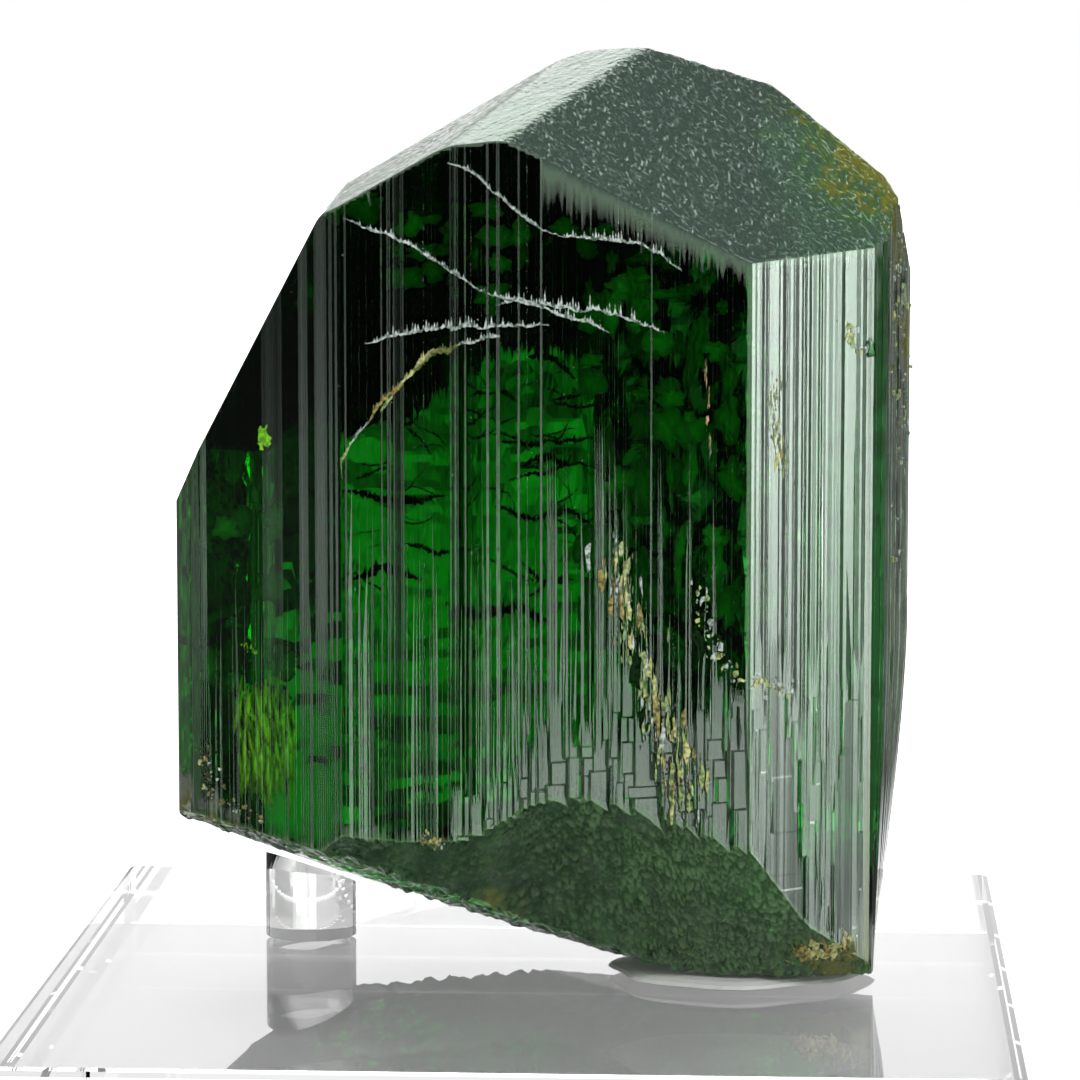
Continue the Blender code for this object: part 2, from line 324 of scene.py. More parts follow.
# Growth plates: height that one opens over, widest tread, least distance between edges, notch at each edge
PLATE_OPENING, PLATE_TREAD, PLATE_SPACING = 1.2, 0.9, 0.12
PLATE_NOTCH, PLATE_NOTCH_WIDTH = 0.035, 0.05
PLATE_TOP_X = [-6.0, -3.0, 0.0, 4.0, 8.0, 13.8]
PLATE_TOP_Z = [13.5, 16.0, 20.5, 21.0, 21.5, 23.0]
PLATE_FROST, PLATE_FROST_FADE = 0.18, 4.0


class Plates:
    """Growth plates low on a face: tilted strips whose edges jump sideways from ledge to ledge."""

    def __init__(self, draw, places, tilt, top_of, jump=0.5):
        self.edges = []
        for place in places:
            top = top_of(place) + draw.uniform(-2.5, 2.5)
            steps, z, offset = [], top, 0.0
            drift = draw.choice((-1, 1))
            while z > 0:
                z -= draw.triangular(0.8, 7.0, 2.0)
                way = drift if draw.random() < 0.75 else -drift
                offset += way * draw.uniform(0.08, jump)
                steps.append((z, offset))
            self.edges.append((place, top, math.tan(math.radians(tilt())), steps))

    def depth(self, along, z):
        """Depth at every row and column, and where the plates lie."""
        deep = np.zeros(along.shape)
        covered = np.zeros(along.shape)
        before = np.full(len(z), -1.0)
        for place, top, slope, steps in self.edges:
            edge = np.full(len(z), place)
            for low, offset in steps:
                edge = np.where(z < low, place + offset, edge)
            edge = np.maximum(edge, before + PLATE_SPACING)
            before = edge
            past = along - edge[:, None]
            opened = np.clip((top - z) / PLATE_OPENING, 0, 1)[:, None]
            tread = abs(slope) * (past if slope > 0 else np.maximum(PLATE_TREAD - past, 0))
            fresh = opened * (tread + np.where(past < PLATE_NOTCH_WIDTH, PLATE_NOTCH, 0.0))
            deep = np.where(past >= 0, fresh, deep)
            covered = np.where(past >= 0, opened, covered)
        return deep, covered


def plate_places(draw, place, end, steps):
    places = []
    while place < end:
        places.append(place)
        place += draw.choice(steps)
    return places


def front_plates():
    draw = random.Random(31)
    places = plate_places(draw, 7.0, FRONT_RIGHT - FRONT_LEFT, (0.25, 0.35, 0.55, 0.9))
    return Plates(
        draw, places, lambda: draw.uniform(16.0, 21.0),
        lambda place: np.interp(place + FRONT_LEFT, PLATE_TOP_X, PLATE_TOP_Z),
    )


def right_plates():
    draw = random.Random(33)
    places = plate_places(draw, 0.3, 9.6, (0.4, 0.6, 0.8))
    return Plates(draw, places, lambda: draw.uniform(-1.2, 1.2), lambda place: 23.0, jump=0.7)


MOST_GAP = 0.14


def denser(along, depth):
    """Adds straight columns where neighbours stand far apart, so that the plates' edges come out sharp."""
    alongs, depths = [along[:, :1]], [depth[:, :1]]
    for c in range(1, along.shape[1]):
        count = int(np.median(along[:, c] - along[:, c - 1]) / MOST_GAP)
        for k in range(1, count + 2):
            share = k / (count + 1)
            for found, known in ((alongs, along), (depths, depth)):
                found.append(known[:, c - 1 : c] * (1 - share) + known[:, c : c + 1] * share)
    return np.concatenate(alongs, axis=1), np.concatenate(depths, axis=1)


BACK_SPACING = 0.33


def back_relief(points, slanted):
    """Waves that break up the light that comes through the back, higher on its slanted face."""
    if slanted:
        return 0.6 + 0.55 * noise_at(points, 2.6, 14)
    level = points * (0.7, 0.7, 1.3)
    return 0.15 + 0.060 * noise_at(level, 3.0, 4) + 0.016 * noise_at(level, 1.0, 9)


# Distance from a corner within which waves and plates fade out, and share of the stripes hidden by plates
WAVES_FADE, PLATES_FADE, HIDDEN_BY_PLATES = 0.7, 0.15, 0.85


def side_columns(kind, start, end, z, index):
    """Distance along a side and depth into it, for each row and column of the side."""
    length = math.dist(start, end)
    makers = {"front": front_stripes, "right": right_stripes, "left_front": left_front_stripes}
    if "back" in kind:
        count = max(2, round(length / BACK_SPACING))
        along = np.tile(np.linspace(0, length, count, endpoint=False), (len(z), 1))
        x, y = (start[k] + (end[k] - start[k]) * along / length for k in range(2))
        points = np.stack([x, y, np.tile(z[:, None], (1, count))], axis=2).reshape(-1, 3)
        relief = back_relief(points, kind == "slanted_back").reshape(along.shape)
        return along, relief * np.minimum(1.0, np.minimum(along, length - along) / WAVES_FADE)
    if kind in makers:
        stripes = makers[kind]()
    elif kind == "right_bevel":
        stripes = strip_stripes(length, index, (0.06, 0.1, 0.16, 0.24), 20.0)
    else:
        stripes = strip_stripes(length, index)
    parts = [stripe.columns(z) for stripe in stripes]
    corner = np.zeros((len(z), 1))
    along = np.concatenate([corner] + [a for a, _ in parts], axis=1)
    depth = np.concatenate([corner] + [d for _, d in parts], axis=1)
    along = np.minimum(along, length - 0.001)
    if kind in ("front", "right"):
        along, depth = denser(along, depth)
        plates = front_plates() if kind == "front" else right_plates()
        deep, covered = plates.depth(along, z)
        near_end = np.minimum(1.0, np.minimum(along, length - along) / PLATES_FADE)
        depth = (depth * (1 - HIDDEN_BY_PLATES * covered) + deep) * near_end
    return along, depth


# Shell-shaped chips in the walls: centre and radius
CHIPS = [
    ((-26.0, -6.0, 13.6), 2.6),
    ((-24.4, -8.8, 34.4), 1.3), ((-22.1, -10.2, 38.6), 1.2), ((-19.9, -11.4, 42.0), 1.0),
    ((25.6, -1.0, 46.5), 1.4), ((22.3, -8.6, 43.6), 1.1), ((25.9, 1.0, 52.0), 1.5),
    ((25.7, 0.0, 34.5), 0.9), ((26.2, -0.5, 27.0), 1.4), ((-26.2, 0.0, 22.0), 1.5),
]


def chip_walls(x, y, inward):
    """Moves the wall points that lie in a chip's ball inwards to the ball's far side."""
    heights = np.repeat(ROWS[:, None], x.shape[1], axis=1)
    for (cx, cy, cz), radius in CHIPS:
        near = (np.hypot(x - cx, y - cy) < 1.3 * radius) & (abs(heights - cz) < 1.3 * radius)
        where = np.nonzero(near)
        if not len(where[0]):
            continue
        px, py, pz = x[where], y[where], heights[where]
        rough = radius * (1 + 0.14 * noise_at(np.column_stack([px, py, pz]), 0.8 * radius, 13))
        dx, dy, dz = px - cx, py - cy, pz - cz
        nx, ny = inward[0][where[1]], inward[1][where[1]]
        lean = dx * nx + dy * ny
        room = lean**2 - (dx**2 + dy**2 + dz**2 - rough**2)
        move = np.where(room > 0, np.maximum(-lean + np.sqrt(np.maximum(room, 0)), 0), 0)
        move = np.where(dx**2 + dy**2 + dz**2 < rough**2, move, 0)
        x[where], y[where] = px + nx * move, py + ny * move
    return x, y


# Taper of the right edge towards the foot: where it starts, over what height, how deep, from what x, how wide
TAPER_TOP, TAPER_HEIGHT, TAPER_DEPTH, TAPER_X, TAPER_WIDTH = 24.0, 22.7, 2.2, 22.3, 2.9


def prism_columns():
    """X and Y of every column at every row, and which side each column is on."""
    xs, ys, kinds, inward_x, inward_y = [], [], [], [], []
    for index, (kind, start) in enumerate(SIDES):
        end = SIDES[(index + 1) % len(SIDES)][1]
        along, depth = side_columns(kind, start, end, ROWS, index)
        length = math.dist(start, end)
        way = ((end[0] - start[0]) / length, (end[1] - start[1]) / length)
        xs.append(start[0] + way[0] * along - way[1] * depth)
        ys.append(start[1] + way[1] * along + way[0] * depth)
        kinds += [kind] * along.shape[1]
        inward_x += [-way[1]] * along.shape[1]
        inward_y += [way[0]] * along.shape[1]
    x, y = np.concatenate(xs, axis=1), np.concatenate(ys, axis=1)
    taper = np.clip((TAPER_TOP - ROWS) / TAPER_HEIGHT, 0, 1)[:, None] ** 1.5
    x -= TAPER_DEPTH * taper * np.clip((x - TAPER_X) / TAPER_WIDTH, 0, 1)
    x, y = chip_walls(x, y, (np.array(inward_x), np.array(inward_y)))
    return x, y, np.array(kinds)


# Steps between a cap's vertices along X and Y, and how frosted the places are that get them
TOP_GRIDS = [((0.17, 0.17), list(TOP_FROST.values())), ((0.6, 0.6), [PLAIN_TOP_FROST])]
BOTTOM_GRIDS = [((0.12, 0.08), [ETCHED_FROST]), ((0.27, 0.25), [ROUGH_FROST]), ((0.6, 0.6), [FOOT_FROST])]


def cap_grid(loop, frost, grids):
    """Jittered grids of points over a loop's box, closer together where the cap is rougher."""
    draw = np.random.default_rng(7)
    low, high = loop.min(axis=0), loop.max(axis=0)
    chosen = []
    for step, wanted in grids:
        grid = np.meshgrid(np.arange(low[0], high[0], step[0]), np.arange(low[1], high[1], step[1]))
        points = np.stack([g.ravel() for g in grid], axis=1)
        points = points + draw.uniform(-0.35, 0.35, points.shape) * step
        chosen.append(points[np.isin(frost(points[:, 0], points[:, 1]), wanted)])
    return np.concatenate(chosen)


def inside(points, loop):
    """Even-odd test of points against a closed loop."""
    x, y = points[:, 0], points[:, 1]
    found = np.zeros(len(points), bool)
    for (ax, ay), (bx, by) in zip(loop, np.roll(loop, -1, axis=0)):
        if ay != by:
            found ^= ((ay > y) != (by > y)) & (x < (bx - ax) * (y - ay) / (by - ay) + ax)
    return found


def make_cap(loop_xy, loop_ids, grid, height, frost, body, upward):
    """Closes the prism over a loop of vertices it has, with new vertices at the grid's points."""
    coords = [Vector(p) for p in loop_xy] + [Vector(p) for p in grid[inside(grid, loop_xy)]]
    loop = list(range(len(loop_xy)))
    points, _, faces, origins = geometry.delaunay_2d_cdt(coords, [], [loop], 1, 1e-6)[:4]
    ids, fresh = [], []
    for point, origin in zip(points, origins):
        old = [o for o in origin if o < len(loop)]
        ids.append(loop_ids[old[0]] if old else len(body.vertices) + len(fresh))
        if not old:
            fresh.append(point)
    fresh = np.array([tuple(p) for p in fresh])
    body.add(np.column_stack([fresh, height(fresh[:, 0], fresh[:, 1])]), frost(fresh[:, 0], fresh[:, 1]))
    for face in faces:
        body.faces.append([ids[i] for i in (face if upward else face[::-1])])


CREASE_STEEPNESS = 2.8


def cells_at(points, scale):
    """Rounded cells with creases between them: 0 in a crease, up to 1 in the middle of a cell."""
    found = []
    for point in points / np.reshape(scale, (-1, 1)):
        near = noise.voronoi(Vector(point))[0]
        found.append(min(1.0, CREASE_STEEPNESS * (near[1] - near[0])))
    return np.array(found)


def top_relief(x, y):
    """The top with grain where it is well frosted and slanting striae elsewhere."""
    draw = np.random.default_rng(11)
    grit = draw.uniform(-0.035, 0.035, len(x))
    grain = grit + 0.03 * noise_at(np.column_stack([x, y, 0 * x]), 1.2, 2)
    turned = np.column_stack([0.82 * x + 0.57 * y, 5.0 * (0.82 * y - 0.57 * x), 0 * x])
    striae = 0.022 * noise_at(turned, 1.6, 3) + 0.3 * grit
    return top_height(x, y) + np.where(top_frost(x, y) > GRAINED_ABOVE, grain, striae) - 0.03


def etched_cells(x, y):
    """The etched zone's network, drawn out sideways: 0 in a crease, 1 on a lump."""
    points = np.column_stack([0.8 * x, y * ETCHED_STEEPNESS, 0 * x])
    warped = points + 0.35 * np.column_stack([noise_at(points, 0.8, seed) for seed in (5, 15, 25)])
    return cells_at(warped, np.interp(x, [-10.0, 0.0, 12.0], [0.66, 0.54, 0.42]))


def bottom_relief(x, y):
    draw = np.random.default_rng(12)
    points = np.column_stack([x, y * ETCHED_STEEPNESS, 0 * x])
    etched = 0.25 * (1.0 - etched_cells(x, y)) + draw.uniform(-0.03, 0.03, len(x))
    etched += 0.30 * noise_at(points, 2.4, 6) + 0.10 * noise_at(points, 0.9, 16)
    calm = np.clip((np.hypot(x - PEG_PLACE[0], y - PEG_PLACE[1]) - PEG_CLEAR) / PEG_CALM, 0.1, 1.0)
    rough = calm * (0.5 * etched + 0.42 * noise_at(np.column_stack([x, y, 0 * x]), 0.9, 36))
    frost = bottom_frost(x, y)
    lift = np.select([frost == ETCHED_FROST, frost == ROUGH_FROST], [etched, rough], 0.0)
    return bottom_height(x, y) + np.where(bottom_height(x, y) > FOOT_HEIGHT, lift, 0.0)


def bottom_frost_with_painted_crease_shade(x, y):
    """Frosting of the underside: weak in the etched zone's creases and towards its left end. The weak frost
    makes the creases near black, which is painted shade, and the lumps lighter, which is painted highlight.
    """
    points = np.column_stack([x, y * ETCHED_STEEPNESS, 0 * x])
    cells = etched_cells(x, y) * (0.75 + 0.35 * noise_at(points, 1.8, 26))
    most = np.interp(x, [-8.0, 2.0, 9.0], [0.55, 0.65, 1.0])
    look = np.clip(most * (0.25 + 0.85 * cells), 0.0, 1.0)
    return np.where(bottom_frost(x, y) == FOOT_FROST, FOOT_FROST, look)


def etched_share(points):
    """1 on the underside and the etched front, 0 from a little above them."""
    return np.clip((bottom_height(points[:, 0], points[:, 1]) + 0.7 - points[:, 2]) / 0.5, 0, 1)


# Places stained yellow-brown: centre and radius
STAINS = [
    ((23.0, 0.0, 54.5), 8.0), ((25.0, 0.5, 44.0), 4.5), ((20.5, -9.5, 1.5), 4.2),
    ((-24.5, -3.0, 11.5), 4.0), ((-21.5, -8.0, 11.6), 2.2), ((-3.5, -9.0, 6.5), 2.6),
]


def stain_at(points):
    """How stained each point is, in patches that break up towards their edges."""
    stain = np.zeros(len(points))
    broken = 0.7 * noise_at(points, 1.6, 8) + 1.1 * noise_at(points, 0.45, 18)
    for centre, radius in STAINS:
        away = np.linalg.norm(points - centre, axis=1) / radius
        stain = np.maximum(stain, np.clip(1.6 * (1 - away) + 0.9 * broken, 0, 1) * (away < 1.3))
    on_strip = np.clip((points[:, 0] - 22.9) / 0.6, 0, 1) * np.clip(0.3 + 0.5 * broken, 0, 1)
    return np.maximum(stain, on_strip)


class Body:
    """Vertices in millimetres, how frosted each one is or, in a cloud, how strong its painted glow is there,
    and faces.
    """

    def __init__(self):
        self.vertices, self.frost, self.faces = [], [], []

    def add(self, points, frost):
        base = len(self.vertices)
        self.vertices.extend(map(tuple, points))
        self.frost.extend(map(float, frost))
        return list(range(base, base + len(points)))

    def object(self, name):
        mesh = bpy.data.meshes.new(name)
        places = np.array(self.vertices)
        mesh.from_pydata((places * MM).tolist(), [], [list(map(int, face)) for face in self.faces])
        looks = {"frost": self.frost, "stain": stain_at(places), "etched": etched_share(places)}
        for label, values in looks.items():
            layer = mesh.attributes.new(label, "FLOAT", "POINT")
            layer.data.foreach_set("value", np.array(values, dtype=np.float32))
        made = bpy.data.objects.new(name, mesh)
        bpy.context.scene.collection.objects.link(made)
        made.matrix_world = CRYSTAL_FRAME
        return made


def straightened(z, x, y, fixed):
    """Rows of a column that are needed to keep its shape."""
    keep = set(fixed)
    spans = list(zip(sorted(fixed)[:-1], sorted(fixed)[1:]))
    while spans:
        a, b = spans.pop()
        if b - a < 2:
            continue
        share = (z[a : b + 1] - z[a]) / (z[b] - z[a])
        off = np.abs(x[a : b + 1] - x[a] - share * (x[b] - x[a]))
        off += np.abs(y[a : b + 1] - y[a] - share * (y[b] - y[a]))
        worst = int(np.argmax(off))
        if off[worst] > COLUMN_TOLERANCE:
            keep.add(a + worst)
            spans += [(a, a + worst), (a + worst, b)]
    return sorted(keep)


# Where a column keeps every so many rows, so that its stains show
STAINED_SIDES = ("left_strip", "left_front", "right_bevel", "right_strip")
STAINED_FRONT_X, STAINED_ROWS = -10.0, 9

# Fringe under the frosted top: its plain depth, its strength on the right face, shares of it that keep a row
PLAIN_FRINGE, RIGHT_FRINGE, FRINGE_ROWS = 0.12, 0.8, (0.35, 0.7)

# Frosting of the edge between the front and right faces, and distance from it
CORNER_FROST, CORNER_REACH = 0.5, 0.3


def fringe_depth(kind, x, draw):
    """How far the top's frosting runs down a column: in hairs under the frosted face, else very little."""
    if kind == "front" and x > 0.0:
        longest = np.interp(x, [0.0, 1.5, 6.0, 9.0, 13.8], [4.4, 4.2, 3.4, 3.0, 2.0])
        return longest * draw.uniform(0.7, 1.1)
    return draw.uniform(0.15, 2.2) if kind == "right" else PLAIN_FRINGE


def add_column(body, kind, z, x, y, draw):
    """One column of the prism, cut to the top and bottom faces."""
    high, low = top_height(x, y), bottom_height(x, y)
    top_row = int(np.argmax(z >= high)) if np.any(z >= high) else len(z) - 1
    under = np.nonzero(z <= low)[0]
    bottom_row = int(under[-1]) if len(under) else 0
    heights = z.copy()
    top, bottom = high[top_row], low[bottom_row]
    heights[top_row], heights[bottom_row] = top, bottom
    frosted_from = top - fringe_depth(kind, x[top_row], draw)
    etched_to = bottom + draw.uniform(0.05, 1.1 if kind == "front" else 0.5)

    def row_at(height):
        return bottom_row + int(np.searchsorted(heights[bottom_row : top_row + 1], height))

    cut = [bottom_row, top_row, row_at(frosted_from) - 1, row_at(etched_to)]
    if kind in ("front", "right") and x[top_row] > 0.0:
        cut += [row_at(top - share * (top - frosted_from)) for share in FRINGE_ROWS]
    if kind in STAINED_SIDES or (kind == "front" and x[bottom_row] < STAINED_FRONT_X):
        cut += range(bottom_row, top_row, STAINED_ROWS)
    kept = straightened(heights, x, y, {min(max(c, bottom_row), top_row) for c in cut})
    xs, ys, zs = x[kept], y[kept], heights[kept]
    top_value = top_frost(x[top_row : top_row + 1], y[top_row : top_row + 1])[0]
    top_value *= RIGHT_FRINGE if kind == "right" else 1.0
    low_value = bottom_frost(x[bottom_row : bottom_row + 1], y[bottom_row : bottom_row + 1])[0]
    share = np.clip((zs - frosted_from) / (top - frosted_from), 0, 1)
    frost = top_value * share ** draw.uniform(0.8, 3.5)
    frost += low_value * np.clip((etched_to - zs) / (etched_to - bottom), 0, 1)
    if kind == "front":
        plate_top = np.interp(xs, PLATE_TOP_X, PLATE_TOP_Z, left=0.0)
        frost = np.maximum(frost, PLATE_FROST * np.clip((plate_top - zs) / PLATE_FROST_FADE, 0, 1))
    if kind in ("front", "right") and abs(x[top_row] - FRONT_RIGHT) < CORNER_REACH:
        frost = np.maximum(frost, CORNER_FROST)
    return body.add(np.column_stack([xs, ys, zs]), frost), zs


def join_columns(body, left, right):
    """Triangles between two columns, zipped together from the bottom up."""
    (a, za), (b, zb) = left, right
    i = j = 0
    while i < len(a) - 1 or j < len(b) - 1:
        if j == len(b) - 1 or (i < len(a) - 1 and za[i + 1] <= zb[j + 1]):
            body.faces.append([a[i], b[j], a[i + 1]])
            i += 1
        else:
            body.faces.append([a[i], b[j], b[j + 1]])
            j += 1


def crystal_body():
    x, y, kinds = prism_columns()
    draw = random.Random(2)
    body = Body()
    columns = [add_column(body, kinds[c], ROWS, x[:, c], y[:, c], draw) for c in range(x.shape[1])]
    for left, right in zip(columns, columns[1:] + columns[:1]):
        join_columns(body, left, right)
    walls = np.array(body.vertices)
    for end, relief, frost, look, grids in (
        (-1, top_relief, top_frost, top_frost, TOP_GRIDS),
        (0, bottom_relief, bottom_frost, bottom_frost_with_painted_crease_shade, BOTTOM_GRIDS),
    ):
        ids = [ring[end] for ring, _ in columns]
        loop = walls[ids][:, :2]
        make_cap(loop, ids, cap_grid(loop, frost, grids), relief, look, body, upward=grids is TOP_GRIDS)
    return body


class Nodes:
    """Short calls for building a node tree."""

    def __init__(self, tree):
        self.tree = tree
        tree.nodes.clear()

    def add(self, kind, inputs=None, **settings):
        made = self.tree.nodes.new(kind)
        for key, value in settings.items():
            setattr(made, key, value)
        for key, value in (inputs or {}).items():
            socket = made.inputs[key]
            if isinstance(value, bpy.types.NodeSocket):
                self.tree.links.new(value, socket)
            else:
                socket.default_value = value
        return made

    def attribute(self, name):
        return self.add("ShaderNodeAttribute", attribute_name=name, attribute_type="GEOMETRY").outputs["Fac"]

    def math(self, operation, *values):
        return self.add("ShaderNodeMath", dict(enumerate(values)), operation=operation).outputs[0]

    def mapped(self, value, start, end, first, last, **settings):
        inputs = {"Value": value, "From Min": start, "From Max": end, "To Min": first, "To Max": last}
        return self.add("ShaderNodeMapRange", inputs, **settings).outputs[0]

    def mix(self, factor, first, second):
        inputs = {"Factor": factor, 2: first, 3: second}
        return self.add("ShaderNodeMix", inputs, data_type="FLOAT").outputs[0]

    def mix_colours(self, factor, first, second):
        inputs = {"Factor": factor, 6: first, 7: second}
        return self.add("ShaderNodeMix", inputs, data_type="RGBA").outputs[2]

    def ramp(self, value, *stops):
        made = self.add("ShaderNodeValToRGB", {"Fac": value})
        elements = made.color_ramp.elements
        elements[0].position, elements[0].color = stops[0]
        elements[1].position, elements[1].color = stops[-1]
        for place, colour in stops[1:-1]:
            elements.new(place).color = colour
        return made.outputs[0]

    def lumps(self, scale, detail):
        where = self.add("ShaderNodeTexCoord").outputs["Object"]
        inputs = {"Vector": where, "Scale": scale, "Detail": detail}
        return self.add("ShaderNodeTexNoise", inputs).outputs["Fac"]

    def finish(self, looks, inside=None):
        """Surface with these looks as the tree's output, with a volume inside it if there is one."""
        ends = {"Surface": self.add("ShaderNodeBsdfPrincipled", looks).outputs[0]}
        if inside:
            ends["Volume"] = inside.outputs[0]
        self.add("ShaderNodeOutputMaterial", ends)


def new_material(name):
    made = bpy.data.materials.new(name)
    made.use_nodes = True
    return made, Nodes(made.node_tree)


TOURMALINE_IOR = 1.63


def tourmaline_material():
    made, n = new_material("green_tourmaline_look")
    frost, stain, etched = (n.attribute(name) for name in ("frost", "stain", "etched"))
    frosted_tint = n.ramp(
        frost, (0.0, (1, 1, 1, 1)), (0.3, (0.34, 0.50, 0.34, 1)), (0.8, (0.09, 0.14, 0.11, 1)),
    )
    # Near black in the etched zone's creases and lighter on its lumps: painted shade and painted highlight
    etched_tint_with_painted_crease_shade = n.ramp(frost, (0.2, (0.0, 0.03, 0.0, 1)), (1.0, (0.17, 0.34, 0.12, 1)))
    stained_tint = n.ramp(
        stain, (0.0, (0.08, 0.26, 0.04, 1)), (0.3, (0.10, 0.27, 0.03, 1)),
        (0.6, (0.16, 0.21, 0.03, 1)), (1.0, (0.25, 0.24, 0.04, 1)),
    )
    tint = n.mix_colours(stain, n.mix_colours(etched, frosted_tint, etched_tint_with_painted_crease_shade), stained_tint)
    unfrosted, unstained = n.mapped(frost, 0.1, 0.6, 1.0, 0.65), n.mapped(stain, 0.0, 1.0, 1.0, 0.68)
    see_through = n.math("MINIMUM", unfrosted, unstained)
    n.finish({
        "Base Color": tint, "Roughness": n.mapped(frost, 0.0, 1.0, 0.02, 0.2), "IOR": TOURMALINE_IOR,
        "Transmission Weight": see_through, "Specular Tint": (0.83, 1.0, 0.87, 1),
    }, n.add("ShaderNodeVolumeAbsorption", {"Color": (0.04, 0.72, 0.16, 1), "Density": 240.0}))
    return made


def acrylic_material():
    made, n = new_material("clear_acrylic_look")
    n.finish({"Base Color": (1, 1, 1, 1), "Roughness": 0.01, "IOR": 1.49, "Transmission Weight": 1.0})
    return made


def putty_material():
    """Pale waxy putty with thumbed lumps, slightly see-through at its thin edges."""
    made, n = new_material("pale_putty_look")
    lumps = n.lumps(350.0, 4.0)
    bump = n.add("ShaderNodeBump", {"Strength": 0.6, "Distance": 0.0004, "Height": lumps})
    n.finish({
        "Base Color": n.mix_colours(lumps, (0.88, 0.88, 0.85, 1), (0.70, 0.72, 0.69, 1)), "Roughness": 0.4,
        "IOR": 1.45, "Transmission Weight": 0.35, "Normal": bump.outputs[0],
    })
    return made


def dress_stand():
    acrylic, putty = acrylic_material(), putty_material()
    for node, surface in (
        ("display_base", acrylic), ("support_peg", acrylic), ("mounting_putty", putty),
    ):
        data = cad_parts[node].data
        data.materials.clear()
        data.materials.append(surface)


def make_camera():
    camera = bpy.data.objects.new("camera", bpy.data.cameras.new("camera"))
    bpy.context.scene.collection.objects.link(camera)
    camera.data.lens = CAMERA_LENS
    camera.data.sensor_width = CAMERA_SENSOR
    camera.data.clip_start = 0.01
    look = Matrix.Rotation(math.pi / 2 - CAMERA_DOWN, 4, "X")
    camera.matrix_world = CRYSTAL_FRAME @ Matrix.Translation(CAMERA_PLACE) @ look
    bpy.context.scene.camera = camera


# Brightness of the surroundings that reflections and refractions see, by direction on the compass:
# 0 is straight in front of the crystal, 90 to its right, 180 behind it
SURROUNDINGS = [
    (-180, 1.1), (-170, 1.0), (-164, 0.35), (-158, 0.12), (-140, 0.2), (-118, 0.3), (-100, 0.2),
    (-75, 0.1), (-60, 0.05), (-52, 0.15), (-44, 1.1), (-36, 1.9), (-29, 0.7), (-24, 0.06), (-18, 0.02),
    (18, 0.02), (25, 0.2), (30, 2.2), (44, 2.4), (48, 0.9), (53, 1.3), (60, 5.0), (63, 12.0), (69, 12.0),
    (72, 6.0), (78, 2.5), (86, 0.5), (95, 0.2), (130, 0.1), (166, 0.05), (171, 0.8), (174, 1.1), (180, 1.1),
]
BRIGHTEST = 12.0
SKY_BEHIND, SKY_HIGH, SKY_THROUGH, MIRRORED_BEHIND, FRONT_FILL = 0.8, 3.2, 0.3, 1.9, 2.5
OVERHEAD_LAMP = 6.0
LEVEL_ON_PLAIN, LEVEL_OF_BACKDROP = 0.5, 1.0


